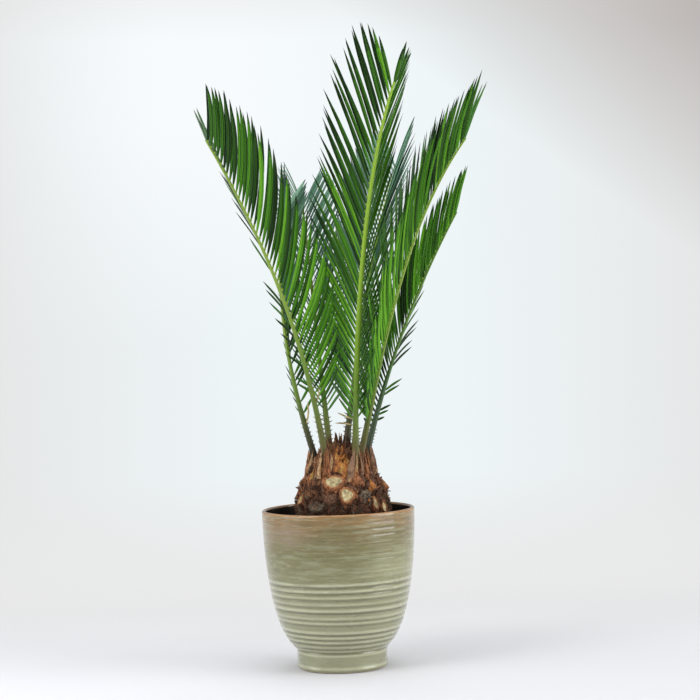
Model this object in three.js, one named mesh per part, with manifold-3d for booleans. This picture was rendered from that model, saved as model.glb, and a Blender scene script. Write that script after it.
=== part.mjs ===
// A young sago palm (a cycad) growing in a glazed stoneware pot.
// Millimetres, +Z up. The origin is the centre of the pot's flat underside.
import * as THREE from "three";
import { mergeVertices } from "three/addons/utils/BufferGeometryUtils.js";
import Module from "manifold-3d";

const wasm = await Module();
wasm.setup();

// Driving dimensions -------------------------------------------------------

// Space kept between two pieces that touch on the real plant.
const CLEARANCE = 0.3;

// The pot: a short straight foot, then a side that swells in one sweep to the rim.
const POT_HEIGHT = 165.5;
const RIM_RADIUS = 80;
const FOOT_RADIUS = 47.6;
const FOOT_HEIGHT = 20.5;
const FOOT_EDGE = 3;
const WALL = 4;
const FLOOR_THICKNESS = 7;
const SWELL_OUT = 30;
const SWELL_UP = 23;
const RIM_UPRIGHT = 26;
const RIM_ROUNDING = 1;
const POT_SIDES = 44;

// Heights at which the smooth stretches of the side turn, outside and inside.
const SIDE_HEIGHTS = [110, 138];
const INSIDE_HEIGHTS = [110, 70, 45, 30];

// Turned grooves that are bold enough to change the pot's outline.
const GROOVE_HEIGHTS = [31, 41.6, 56.8, 85];
const GROOVE_DEPTH = 0.7;
const GROOVE_HALF_WIDTH = 1.6;

// The potting soil, a little under the rim, with a dip round the stem's foot.
const SOIL_HEIGHT = 147;
const SOIL_DIP = 3;
const SOIL_DIP_BORDER = 12;
const SOIL_SIDE_HEIGHTS = [70, 30];

// The stem (caudex): a squat barrel, set a little to one side of the pot's centre.
const STEM_OFFSET = 7.5;
const STEM_FOOT_RADIUS = 46;
const STEM_GIRTH_RADIUS = 49;
const STEM_GIRTH_HEIGHT = 168;
const CROWN_RADIUS = 31;
const CROWN_HEIGHT = 221;
const STEM_TOP = 236;
const STEM_TAPER_POWER = 1.15;
const STEM_TURN_HEIGHTS = [156, STEM_GIRTH_HEIGHT, 186, 204, CROWN_HEIGHT, 229, 233.5];
const STEM_SIDES = 20;

// Cut leaf bases that clothe the stem, placed by the golden angle.
const BASE_COUNT = 44;
const BASE_LENGTH = 24;
const BASE_WIDTH = 23;
const BASE_THICKNESS = 14;
const BASE_LEAN = 28;
const BASE_SINK = 4.5;
const BASE_FOOT_SHARE = 0.55;
const BASE_END_SHARE = 0.3;
const LOWEST_BASE = 159;
const HIGHEST_BASE = 217;
const GOLDEN_ANGLE = 137.508;

// Pointed felt-covered bracts round the growing tip. From the middle out, each
// stands a step further from the axis, leans a little more and sits a little lower.
const BRACT_COUNT = 14;
const BRACT_LENGTH = 19;
const BRACT_WIDTH = 5;
const BRACT_INNER_RADIUS = 4;
const BRACT_RADIUS_STEP = 1.3;
const BRACT_INNER_LEAN = 6;
const BRACT_LEAN_STEP = 2.2;
const BRACT_DROP_STEP = 0.45;

// The leaf stalk and rib: thick where it leaves the crown, thin at its end.
const RIB_FOOT_RADIUS = 4.1;
const RIB_STALK_RADIUS = 3;
const RIB_TIP_RADIUS = 1.1;
const RIB_SIDES = 5;
const RIB_STEPS = 18;
const STALK_LENGTH = 58;
const ROOT_DEPTH = 14;
const ROOT_DRAW_IN = 0.25;

// Leaflets, in two rows that stand up from the rib in a V.
const LEAFLET_PAIRS = 38;
const LEAFLET_LENGTH = 104;
const LEAFLET_FILL = 0.9;
const LEAFLET_THICKNESS = 1.2;
const LEAFLET_WIDEST = 0.36;
const LEAFLET_ARCH = 0.09;
const KEEL_ANGLE = 42;

// Angle between leaflet and rib: wide by the stalk, close in the middle of the row.
const SPREAD_AT_STALK = 43;
const SPREAD_AT_MIDDLE = 28;
const SPREAD_AT_TIP = 31;
const SPREAD_TURN = 0.4;

// Length of the leaflets along the row: the lowest are short, and they reach full
// length at RISE_END and shorten again from FALL_START to the frond's end.
const LOWEST_LEAFLET = 0.41;
const RISE_END = 0.3;
const RISE_POWER = 0.8;
const LAST_LEAFLET = 0.54;
const FALL_START = 0.62;
const FALL_POWER = 1.6;

// The seven fronds. Foot: radius, direction and height on the crown.
// Heading, lean from upright and roll about the rib: at the foot, then at the end.
// The lean grows along the rib by the power "bend". Size scales the leaflets.
const FRONDS = [
  {
    name: "frond_front_left",
    foot: [29, -128, 214],
    heading: [-121, -192],
    lean: [14.4, 29.5],
    bend: 1.4,
    length: 358,
    roll: [17, 39],
    size: 1,
  },
  {
    name: "frond_front",
    foot: [29, -65, 214],
    heading: [-81, -24],
    lean: [8.5, 21.2],
    bend: 3.2,
    length: 393,
    roll: [-25, -17],
    size: 1.08,
  },
  {
    name: "frond_right",
    foot: [23, -43, 216],
    heading: [-25, -17],
    lean: [14.5, 38.6],
    bend: 2.7,
    length: 352,
    roll: [48, 5],
    size: 1.1,
  },
  {
    name: "frond_right_rear",
    foot: [25, 25, 214],
    heading: [44, -8],
    lean: [20, 30],
    bend: 1.7,
    length: 285,
    roll: [-115, 0],
    size: 0.82,
  },
  {
    name: "frond_back_right",
    foot: [22, 88, 216],
    heading: [48, 57],
    lean: [13, 33],
    bend: 2.1,
    length: 338,
    roll: [31, -17],
    size: 1,
  },
  {
    name: "frond_back_left",
    foot: [23, 126, 216],
    heading: [108, 100],
    lean: [17.5, 31],
    bend: 3.2,
    length: 302,
    roll: [-15, 10],
    size: 0.85,
  },
  {
    name: "frond_left_rear",
    foot: [29, 168, 213],
    heading: [155, 71],
    lean: [19, 14],
    bend: 1.4,
    length: 285,
    roll: [95, 80],
    size: 0.9,
  },
];

// Colour and finish of each piece.
const GLAZE = { color: 0x8a9275, roughness: 0.3, metalness: 0 };
const SOIL = { color: 0x2a211b, roughness: 1, metalness: 0 };
const FELT = { color: 0x7a4a30, roughness: 0.95, metalness: 0 };
const LEAF = { color: 0x3f7a22, roughness: 0.45, metalness: 0 };

// Shared helpers -------------------------------------------------------------

const UP = new THREE.Vector3(0, 0, 1);

function radians(degrees) {
  return THREE.MathUtils.degToRad(degrees);
}

// A point at a distance from the stem's axis, in a compass direction, at a height.
function aroundStem(radius, direction, height) {
  return new THREE.Vector3(
    STEM_OFFSET + radius * Math.cos(radians(direction)),
    radius * Math.sin(radians(direction)),
    height,
  );
}

// A closed three.js geometry as a solid that can be joined and cut.
function solidFrom(geometry) {
  const bare = geometry.clone();
  bare.deleteAttribute("normal");
  bare.deleteAttribute("uv");
  const merged = mergeVertices(bare, 1e-4);
  return new wasm.Manifold(
    new wasm.Mesh({
      numProp: 3,
      vertProperties: merged.attributes.position.array,
      triVerts: new Uint32Array(merged.index.array),
    }),
  );
}

// A solid as a three.js geometry with flat faces.
function geometryFrom(solid) {
  const mesh = solid.getMesh();
  const geometry = new THREE.BufferGeometry();
  geometry.setAttribute("position", new THREE.BufferAttribute(mesh.vertProperties, 3));
  geometry.setIndex(new THREE.BufferAttribute(mesh.triVerts, 1));
  geometry.computeVertexNormals();
  return geometry;
}

// A closed geometry from corner points and faces of three corners each.
function geometryOf(corners, faces) {
  const geometry = new THREE.BufferGeometry();
  geometry.setFromPoints(corners);
  geometry.setIndex(faces.flat());
  return geometry;
}

function namedMesh(name, geometry, finish) {
  const mesh = new THREE.Mesh(geometry, new THREE.MeshStandardMaterial(finish));
  mesh.name = name;
  return mesh;
}

// A solid of revolution about +Z from [radius, height] pairs.
function turned(profile, sides) {
  const points = profile.map(([radius, height]) => new THREE.Vector2(radius, height));
  return new THREE.LatheGeometry(points, sides).rotateX(Math.PI / 2);
}

// The pot ---------------------------------------------------------------------

// The side of the pot above its foot, moved inwards by an inset.
function potSideCurve(inset) {
  return new THREE.CubicBezierCurve(
    new THREE.Vector2(FOOT_RADIUS - inset, FOOT_HEIGHT),
    new THREE.Vector2(FOOT_RADIUS - inset + SWELL_OUT, FOOT_HEIGHT + SWELL_UP),
    new THREE.Vector2(RIM_RADIUS - inset, POT_HEIGHT - RIM_UPRIGHT),
    new THREE.Vector2(RIM_RADIUS - inset, POT_HEIGHT),
  );
}

// Radius of the pot's side at a height.
function potRadiusAt(height, inset) {
  const curve = potSideCurve(inset);
  let low = 0;
  let high = 1;
  for (let step = 0; step < 30; step += 1) {
    const middle = (low + high) / 2;
    if (curve.getPoint(middle).y < height) {
      low = middle;
    } else {
      high = middle;
    }
  }
  return curve.getPoint(low).x;
}

// Outside of the pot from its underside to its rim, with the bold grooves.
function potOutside() {
  const profile = [
    [FOOT_RADIUS - FOOT_EDGE, 0],
    [FOOT_RADIUS, FOOT_EDGE],
    [FOOT_RADIUS, FOOT_HEIGHT],
  ];
  for (const height of GROOVE_HEIGHTS) {
    for (const [offset, depth] of [
      [-GROOVE_HALF_WIDTH, 0],
      [0, GROOVE_DEPTH],
      [GROOVE_HALF_WIDTH, 0],
    ]) {
      profile.push([potRadiusAt(height + offset, 0) - depth, height + offset]);
    }
  }
  for (const height of [...SIDE_HEIGHTS, POT_HEIGHT - RIM_ROUNDING]) {
    profile.push([potRadiusAt(height, 0), height]);
  }
  return profile;
}

// Inside of the pot at some of its heights and down to its floor, moved in by a gap.
function potInside(gap, heights) {
  const inset = WALL + gap;
  const profile = heights.map((height) => [potRadiusAt(height, inset), height]);
  profile.push([FOOT_RADIUS - inset - FOOT_EDGE, FLOOR_THICKNESS + gap]);
  return profile;
}

function makePot() {
  const profile = [
    [0, 0],
    ...potOutside(),
    [RIM_RADIUS - WALL / 2, POT_HEIGHT],
    ...potInside(0, [POT_HEIGHT - RIM_ROUNDING, SOIL_HEIGHT, ...INSIDE_HEIGHTS, FOOT_HEIGHT]),
    [0, FLOOR_THICKNESS],
  ];
  return namedMesh("pot", turned(profile, POT_SIDES), GLAZE);
}

// The soil turns only at heights where the inside of the pot does too, so its
// straight stretches stay clear of the pot's.
function makeSoil() {
  const side = potInside(CLEARANCE, [SOIL_HEIGHT, ...SOIL_SIDE_HEIGHTS, FOOT_HEIGHT]);
  const profile = [
    [0, FLOOR_THICKNESS + CLEARANCE],
    ...side.reverse(),
    [STEM_FOOT_RADIUS + SOIL_DIP_BORDER, SOIL_HEIGHT - SOIL_DIP],
    [0, SOIL_HEIGHT - SOIL_DIP],
  ];
  return namedMesh("potting_soil", turned(profile, POT_SIDES), SOIL);
}

// The fronds --------------------------------------------------------------------

// How the rib lies at a share of its length: the way it runs, the way the frond's
// upper face looks, and the way to its left side.
function ribFrame(frond, share) {
  const heading = radians(THREE.MathUtils.lerp(...frond.heading, share));
  const lean = radians(THREE.MathUtils.lerp(...frond.lean, share ** frond.bend));
  const outward = new THREE.Vector3(Math.cos(heading), Math.sin(heading), 0);
  const along = outward.clone().multiplyScalar(Math.sin(lean)).addScaledVector(UP, Math.cos(lean));
  const upper = outward.clone().multiplyScalar(-Math.cos(lean)).addScaledVector(UP, Math.sin(lean));
  upper.applyAxisAngle(along, radians(THREE.MathUtils.lerp(...frond.roll, share)));
  const left = new THREE.Vector3().crossVectors(upper, along);
  return { along, upper, left };
}

// A frond's rib as stations from its foot to its end.
function ribStations(frond) {
  const stride = frond.length / RIB_STEPS;
  const point = aroundStem(...frond.foot);
  const stations = [{ point: point.clone(), ...ribFrame(frond, 0) }];
  for (let step = 1; step <= RIB_STEPS; step += 1) {
    point.addScaledVector(ribFrame(frond, (step - 0.5) / RIB_STEPS).along, stride);
    stations.push({ point: point.clone(), ...ribFrame(frond, step / RIB_STEPS) });
  }
  return stations;
}

// The station at a share of the rib's length, between two stored ones.
function stationAt(stations, share) {
  const place = Math.min(share * RIB_STEPS, RIB_STEPS - 1e-6);
  const before = stations[Math.floor(place)];
  const after = stations[Math.floor(place) + 1];
  const part = place % 1;
  const mixed = {};
  for (const key of ["point", "along", "upper", "left"]) {
    mixed[key] = before[key].clone().lerp(after[key], part);
  }
  return mixed;
}

// Radius of the rib a given way along it.
function ribRadius(distance, length) {
  if (distance < STALK_LENGTH) {
    return THREE.MathUtils.lerp(RIB_FOOT_RADIUS, RIB_STALK_RADIUS, distance / STALK_LENGTH);
  }
  const share = (distance - STALK_LENGTH) / (length - STALK_LENGTH);
  return THREE.MathUtils.lerp(RIB_STALK_RADIUS, RIB_TIP_RADIUS, share);
}

// The rib as a closed tapering tube, fattened by a margin. Its root is sunk into the
// crown and drawn in towards the stem's axis.
function ribSolid(frond, stations, margin) {
  const corners = [];
  const faces = [];
  stations.forEach((station, step) => {
    const radius = ribRadius((frond.length * step) / RIB_STEPS, frond.length) + margin;
    const centre = station.point.clone();
    if (step === 0) {
      centre.addScaledVector(station.along, -ROOT_DEPTH - margin);
      centre.lerp(aroundStem(0, 0, centre.z), ROOT_DRAW_IN);
    }
    for (let side = 0; side < RIB_SIDES; side += 1) {
      const turn = (2 * Math.PI * side) / RIB_SIDES;
      const corner = centre.clone();
      corner.addScaledVector(station.upper, -radius * Math.cos(turn));
      corner.addScaledVector(station.left, radius * Math.sin(turn));
      corners.push(corner);
    }
  });
  for (let step = 0; step < RIB_STEPS; step += 1) {
    for (let side = 0; side < RIB_SIDES; side += 1) {
      const next = (side + 1) % RIB_SIDES;
      const low = step * RIB_SIDES;
      const high = low + RIB_SIDES;
      faces.push([low + side, low + next, high + next]);
      faces.push([low + side, high + next, high + side]);
    }
  }
  const last = RIB_STEPS * RIB_SIDES;
  for (let side = 1; side < RIB_SIDES - 1; side += 1) {
    faces.push([0, side + 1, side]);
    faces.push([last, last + side, last + side + 1]);
  }
  return solidFrom(geometryOf(corners, faces));
}

// Length of a leaflet by its place in the row, from the lowest, 0, to the end, 1.
function leafletLength(share) {
  const risen = Math.min(share / RISE_END, 1) ** RISE_POWER;
  const fallen = Math.max((share - FALL_START) / (1 - FALL_START), 0) ** FALL_POWER;
  const rise = THREE.MathUtils.lerp(LOWEST_LEAFLET, 1, risen);
  const fall = THREE.MathUtils.lerp(1, LAST_LEAFLET, fallen);
  return LEAFLET_LENGTH * rise * fall;
}

// Angle between a leaflet and the rib by its place in the row.
function leafletSpread(share) {
  if (share < SPREAD_TURN) {
    const part = share / SPREAD_TURN;
    return radians(THREE.MathUtils.lerp(SPREAD_AT_STALK, SPREAD_AT_MIDDLE, part));
  }
  const part = (share - SPREAD_TURN) / (1 - SPREAD_TURN);
  return radians(THREE.MathUtils.lerp(SPREAD_AT_MIDDLE, SPREAD_AT_TIP, part));
}

// One leaflet: a flat spindle of eight faces that runs from the middle of the rib
// to its point, widest a third of the way out and bowed a little.
function leafletSolid(frond, stations, share, side, pitch, margin) {
  const stalkShare = STALK_LENGTH / frond.length;
  const station = stationAt(stations, stalkShare + (1 - stalkShare) * share);
  const spread = leafletSpread(share);
  const keel = radians(KEEL_ANGLE);
  const outward = station.left.clone().multiplyScalar(side * Math.cos(keel));
  outward.addScaledVector(station.upper, Math.sin(keel));
  const inward = station.left.clone().multiplyScalar(-side * Math.sin(keel));
  inward.addScaledVector(station.upper, Math.cos(keel));
  const run = station.along.clone().multiplyScalar(Math.cos(spread));
  run.addScaledVector(outward, Math.sin(spread)).normalize();
  const across = station.along.clone().multiplyScalar(Math.sin(spread));
  across.addScaledVector(outward, -Math.cos(spread)).normalize();
  const flat = new THREE.Vector3().crossVectors(run, across);
  const length = leafletLength(share) * frond.size;
  const halfWidth = (pitch * Math.sin(spread) * LEAFLET_FILL) / 2 + margin;
  const halfThickness = LEAFLET_THICKNESS / 2 + margin;
  const root = station.point;
  const tip = root.clone().addScaledVector(run, length);
  tip.addScaledVector(inward, -length * LEAFLET_ARCH);
  const widest = root.clone().addScaledVector(run, length * LEAFLET_WIDEST);
  widest.addScaledVector(inward, -length * LEAFLET_ARCH * LEAFLET_WIDEST ** 2);
  const corners = [
    root,
    tip,
    widest.clone().addScaledVector(across, halfWidth),
    widest.clone().addScaledVector(flat, halfThickness),
    widest.clone().addScaledVector(across, -halfWidth),
    widest.clone().addScaledVector(flat, -halfThickness),
  ];
  const faces = [];
  for (let corner = 0; corner < 4; corner += 1) {
    const next = (corner + 1) % 4;
    faces.push([0, 2 + next, 2 + corner]);
    faces.push([1, 2 + corner, 2 + next]);
  }
  return solidFrom(geometryOf(corners, faces));
}

// All fronds: every rib first, then each frond's leaflets, leaving out a leaflet
// that would touch another frond.
function makeFronds() {
  const ribs = FRONDS.map((frond) => {
    const stations = ribStations(frond);
    return {
      frond,
      stations,
      solid: ribSolid(frond, stations, 0),
      wide: ribSolid(frond, stations, CLEARANCE),
    };
  });
  const done = [];
  for (const rib of ribs) {
    const pitch = (rib.frond.length - STALK_LENGTH) / LEAFLET_PAIRS;
    const others = [...done, ...ribs.filter((other) => other !== rib).map((other) => other.solid)];
    let whole = rib.solid;
    for (let pair = 0; pair < LEAFLET_PAIRS; pair += 1) {
      for (const side of [-1, 1]) {
        const share = (pair + (side > 0 ? 0.5 : 0)) / LEAFLET_PAIRS;
        const guard = leafletSolid(rib.frond, rib.stations, share, side, pitch, CLEARANCE);
        if (others.some((other) => !guard.intersect(other).isEmpty())) {
          continue;
        }
        whole = whole.add(leafletSolid(rib.frond, rib.stations, share, side, pitch, 0));
      }
    }
    done.push(whole);
    rib.whole = whole;
  }
  return ribs;
}

// The stem ------------------------------------------------------------------------

// Radius of the bare stem at a height.
function stemRadius(height) {
  if (height < STEM_GIRTH_HEIGHT) {
    const base = SOIL_HEIGHT - SOIL_DIP;
    const share = (height - base) / (STEM_GIRTH_HEIGHT - base);
    return THREE.MathUtils.lerp(STEM_FOOT_RADIUS, STEM_GIRTH_RADIUS, Math.sin((share * Math.PI) / 2));
  }
  if (height < CROWN_HEIGHT) {
    const share = (height - STEM_GIRTH_HEIGHT) / (CROWN_HEIGHT - STEM_GIRTH_HEIGHT);
    return THREE.MathUtils.lerp(STEM_GIRTH_RADIUS, CROWN_RADIUS, share ** STEM_TAPER_POWER);
  }
  const share = (height - CROWN_HEIGHT) / (STEM_TOP - CROWN_HEIGHT);
  return CROWN_RADIUS * Math.sqrt(Math.max(1 - share ** 2, 0));
}

function stemBody() {
  const base = SOIL_HEIGHT - SOIL_DIP + CLEARANCE;
  const profile = [[0, base]];
  for (const height of [base, ...STEM_TURN_HEIGHTS]) {
    profile.push([stemRadius(height), height]);
  }
  profile.push([0, STEM_TOP]);
  return solidFrom(turned(profile, STEM_SIDES).translate(STEM_OFFSET, 0, 0));
}

// A cut leaf base: a short four-sided stub that leans out and up from the stem.
function leafBase(direction, height) {
  const stub = new THREE.CylinderGeometry(BASE_END_SHARE, BASE_FOOT_SHARE, 1, 4, 1);
  stub.scale(BASE_THICKNESS, BASE_LENGTH, BASE_WIDTH);
  stub.rotateX(Math.PI / 2);
  stub.rotateY(radians(BASE_LEAN));
  stub.rotateZ(radians(direction));
  const place = aroundStem(stemRadius(height) - BASE_SINK, direction, height);
  stub.translate(place.x, place.y, place.z);
  return solidFrom(stub);
}

// A pointed bract near the growing tip.
function bract(index) {
  const direction = index * GOLDEN_ANGLE;
  const radius = BRACT_INNER_RADIUS + BRACT_RADIUS_STEP * index;
  const cone = new THREE.ConeGeometry(BRACT_WIDTH / 2, BRACT_LENGTH, 4);
  cone.rotateX(Math.PI / 2);
  cone.rotateY(radians(BRACT_INNER_LEAN + BRACT_LEAN_STEP * index));
  cone.rotateZ(radians(direction));
  const place = aroundStem(radius, direction, STEM_TOP - BRACT_DROP_STEP * index);
  cone.translate(place.x, place.y, place.z);
  return solidFrom(cone);
}

// The stem with its leaf bases and bracts, and a socket for the root of each rib.
function makeStem(ribs) {
  let stem = stemBody();
  for (let index = 0; index < BASE_COUNT; index += 1) {
    const height = THREE.MathUtils.lerp(LOWEST_BASE, HIGHEST_BASE, index / (BASE_COUNT - 1));
    stem = stem.add(leafBase(index * GOLDEN_ANGLE, height));
  }
  for (let index = 0; index < BRACT_COUNT; index += 1) {
    stem = stem.add(bract(index));
  }
  for (const rib of ribs) {
    stem = stem.subtract(rib.wide);
  }
  return namedMesh("stem", geometryFrom(stem), FELT);
}

// The whole plant in its pot ---------------------------------------------------------

const plant = new THREE.Group();
plant.name = "sago_palm_in_pot";
plant.add(makePot());
plant.add(makeSoil());
const ribs = makeFronds();
plant.add(makeStem(ribs));
for (const rib of ribs) {
  plant.add(namedMesh(rib.frond.name, geometryFrom(rib.whole), LEAF));
}

export default plant;
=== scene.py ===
"""A young sago palm (a cycad) growing in a glazed stoneware pot.

Metres, +Z up. Sizes are named in millimetres and turned to metres by MM.
"""
import math

import bpy
import numpy as np
from mathutils import Matrix, Vector, noise


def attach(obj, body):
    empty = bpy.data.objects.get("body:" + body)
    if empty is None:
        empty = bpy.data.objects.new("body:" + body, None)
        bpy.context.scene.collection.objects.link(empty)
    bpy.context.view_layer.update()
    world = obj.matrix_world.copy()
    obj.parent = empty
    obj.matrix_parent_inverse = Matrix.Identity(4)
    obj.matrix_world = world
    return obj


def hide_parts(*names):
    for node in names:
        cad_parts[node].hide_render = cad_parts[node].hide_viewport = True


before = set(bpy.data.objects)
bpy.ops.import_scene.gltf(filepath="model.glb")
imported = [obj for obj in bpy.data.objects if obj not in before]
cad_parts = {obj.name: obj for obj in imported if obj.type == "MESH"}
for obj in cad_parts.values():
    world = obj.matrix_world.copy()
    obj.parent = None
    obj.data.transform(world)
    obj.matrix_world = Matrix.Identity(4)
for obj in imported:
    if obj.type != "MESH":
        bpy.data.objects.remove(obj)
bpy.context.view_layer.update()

MM = 0.001
BODY = "root"
UP = np.array([0.0, 0.0, 1.0])

# Driving dimensions, in millimetres and degrees --------------------------------

# The pot: a short straight foot, then a side that swells in one sweep to the rim.
POT_HEIGHT = 165.5
RIM_RADIUS = 80
FOOT_RADIUS = 47.6
FOOT_HEIGHT = 20.5
FOOT_EDGE = 3
FOOT_HOLLOW = 0.7
WALL = 4
LIP = 2
FLOOR_THICKNESS = 7
SWELL_OUT = 30
SWELL_UP = 23
RIM_UPRIGHT = 26
POT_SIDES = 168
POT_STEP = 0.85
# Where the lip's glaze starts below the rim, how high the bare clay under the foot reaches,
# and how far inside the outer skin the liner starts.
LIP_GLAZE = 1.9
BARE_CLAY = 0.8
LINER_DEPTH = 2.5

# The thrower's grooves: height of the middle and depth. A ridge stands above each.
GROOVES = [
    (20.2, 0.5), (25.0, 0.5), (30.6, 0.62), (35.7, 0.6), (41.3, 0.75), (51.5, 0.5), (56.6, 0.5),
    (64.7, 0.75), (71.2, 0.42), (78.3, 0.5), (85.0, 0.66), (91.6, 0.66), (99.3, 0.36),
    (104.3, 0.36), (108.2, 0.24), (113.2, 0.26), (120.0, 0.36), (124.8, 0.3), (128.6, 0.2),
    (131.4, 0.2), (134.4, 0.24), (138.3, 0.34), (144.3, 0.32), (150.4, 0.36), (156.6, 0.26),
]
GROOVE_HALF_WIDTH = 1.05
RIDGE_RISE = 2.7
RIDGE_HALF_WIDTH = 1.5
STEADY_GROOVES_BELOW = 97
GROOVE_WANDER = 0.5

# The potting soil.
SOIL_HEIGHT = 147
SOIL_DIP = 3
DIP_WIDTH = 20
LOOSE_ABOVE = 140.5
CRUMB_COUNT = 620

# The stem (caudex): a squat barrel, a little to one side of the pot's centre.
STEM_OFFSET = 7.5
STEM_FOOT_RADIUS = 46
STEM_GIRTH_RADIUS = 49
STEM_GIRTH_HEIGHT = 168
CROWN_RADIUS = 31
CROWN_HEIGHT = 221
STEM_TOP = 236
STEM_DRAWN_IN = 1.8
STEM_SHIFT = 2.4
NECK_DRAWN_IN = 6.0
NECK_START = 190
NECK_RISE = 28
STEM_TAPER_POWER = 1.4
GOLDEN_ANGLE = 137.508

# Leaf stalk and rib.
RIB_FOOT_RADIUS = 4.1
RIB_STALK_RADIUS = 3
RIB_TIP_RADIUS = 1.1
STALK_LENGTH = 58
RIB_STEPS = 54
RIB_SIDES = 10

# Leaflets, in two rows that stand up from the rib in a V.
LEAFLET_LENGTH = 104
LEAFLET_WIDTH = 5.0
SPREAD_AT_STALK = 43
SPREAD_AT_MIDDLE = 28
SPREAD_AT_TIP = 31
SPREAD_TURN = 0.4
LOWEST_LEAFLET = 0.41
RISE_END = 0.3
RISE_POWER = 0.8
FALL_START = 0.62


def row_of(**changes):
    """A row of leaflets: length of the end ones as a share of the longest and how suddenly
    they shorten, how far the V folds up (at the stalk, then at the end), how close to the
    rib the upper leaflets stand, how much the leaflets arch back (low down, then above), how
    they bow sideways and twist, how slim they are, how short and how sparse the lowest are,
    and the tints (low down, then above), which paint the light and shade on the row."""
    return dict(
        dict(last=0.56, fall=1.6, fold=(42, 42), close=1, arch=(0.1, 0.1), bow=0.05, twist=-20,
             slim=(0.8, 0.9), short=1, sparse=0, tints=("mid", "mid")), **changes)


def frond_of(name, **changes):
    """A frond. Foot: distance from the stem's axis, direction and height. Heading, lean from
    upright and roll about the rib: at the foot, then at the end. The lean grows along the
    rib by the power "bend". Size scales the leaflets. Bare is the length of stalk with no
    leaflets. Past the share "dusk" of its length a leaflet is a tint darker, partly its own
    darker end and partly painted shade. Tuft lists the leaflets that stand at the very tip,
    as side, angle to the rib and length."""
    return dict(
        dict(name=name, bend=1.4, size=1.0, bare=50, dusk=0.8, leaves=("green", "green"),
             tuft=[]), **changes)


FRONDS = [
    frond_of(
        "frond_front_left", foot=(29, -128, 214), heading=(-121, -192), lean=(14.4, 29.5),
        length=358, roll=(17, 39), bare=56, pairs=46, rib=0.85, stalk="olive",
        rows=[row_of(last=0.54, fold=(4, 50), arch=(0.36, 0.05), bow=0.03, twist=-8,
                     slim=(0.6, 1), short=0.26, sparse=0.45, tints=("shade", "dark")),
              row_of(bow=0.16, twist=-12, slim=(0.8, 0.95), tints=("mid", "dark"))]),
    frond_of(
        "frond_front", foot=(29, -65, 214), heading=(-81, -24), lean=(8.5, 21.2), bend=3.2,
        length=393, roll=(-25, -17), size=1.1, bare=38, pairs=47, dusk=0.6, rib=1.15,
        stalk="green", tuft=[(-1, 5, 36), (-1, 2, 44), (1, 9, 40), (1, 22, 38)],
        rows=[row_of(last=0.34, fall=4.2, bow=-0.02, twist=-13, slim=(0.86, 0.84),
                     tints=("well_lit", "dark")),
              row_of(last=0.34, fall=1.4, fold=(60, 26), close=0.72, arch=(0.1, 0.05),
                     bow=0.03, twist=-18, slim=(0.9, 0.9), tints=("bright", "bright"))]),
    frond_of(
        "frond_right", foot=(23, -43, 216), heading=(-25, -17), lean=(14.5, 38.6), bend=2.7,
        length=352, roll=(48, 5), bare=42, pairs=58, dusk=0.86, rib=0.7, stalk="olive",
        rows=[row_of(last=0.75, close=0.88, arch=(0.1, 0.09), bow=0.07, twist=8,
                     slim=(1, 0.8), tints=("well_lit", "deep")),
              row_of(last=0.66, fold=(42, 46), close=0.88, arch=(0.1, 0.06), bow=0.07,
                     twist=14, slim=(0.9, 0.75), tints=("mid", "deep"))]),
    frond_of(
        "frond_right_rear", foot=(25, 25, 214), heading=(44, -8), lean=(20, 30), bend=1.7,
        length=285, roll=(-115, 0), size=0.78, bare=36, pairs=42, rib=0.75, stalk="teal",
        rows=[row_of(last=0.7, close=0.66, arch=(0.1, 0.08), twist=14, slim=(0.7, 0.85),
                     tints=("shade", "mid")),
              row_of(last=0.62, fold=(15, 60), close=0.7, arch=(0.34, 0.05), bow=0.04,
                     twist=10, slim=(0.5, 0.8), short=0.5, sparse=0.45,
                     tints=("shade", "well_lit"))]),
    frond_of(
        "frond_back_right", foot=(22, 88, 216), heading=(48, 57), lean=(13, 33), bend=2.1,
        length=338, roll=(31, -17), pairs=44, dusk=0.85, rib=0.9, stalk="brown",
        leaves=("green", "teal"), rows=[row_of(bow=0.06), row_of(bow=0.06, tints=("deep", "mid"))]),
    frond_of(
        "frond_back_left", foot=(23, 126, 216), heading=(108, 100), lean=(17.5, 31), bend=3.2,
        length=302, roll=(-15, 10), size=0.85, pairs=40, dusk=0.9, rib=0.9, stalk="olive",
        leaves=("green", "teal"), rows=[row_of(tints=("mid", "well_lit"))] * 2),
    frond_of(
        "frond_left_rear", foot=(29, 168, 213), heading=(155, 71), lean=(19, 14),
        length=285, roll=(95, 80), size=0.9, pairs=38, rib=0.85, stalk="brown",
        leaves=("green", "teal"),
        rows=[row_of(arch=(0.12, 0.1), slim=(0.7, 0.9), short=0.75, sparse=0.1),
              row_of(arch=(0.2, 0.1), twist=-16, slim=(0.6, 0.8), short=0.6, sparse=0.2,
                     tints=("shade", "dark"))]),
]


# Shared helpers ------------------------------------------------------------------

def linear(hex_colour):
    """An sRGB hex colour as linear red, green, blue and alpha."""
    parts = [int(hex_colour[place:place + 2], 16) / 255 for place in (1, 3, 5)]
    return tuple(p / 12.92 if p <= 0.04045 else ((p + 0.055) / 1.055) ** 2.4 for p in parts) + (1.0,)


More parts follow.
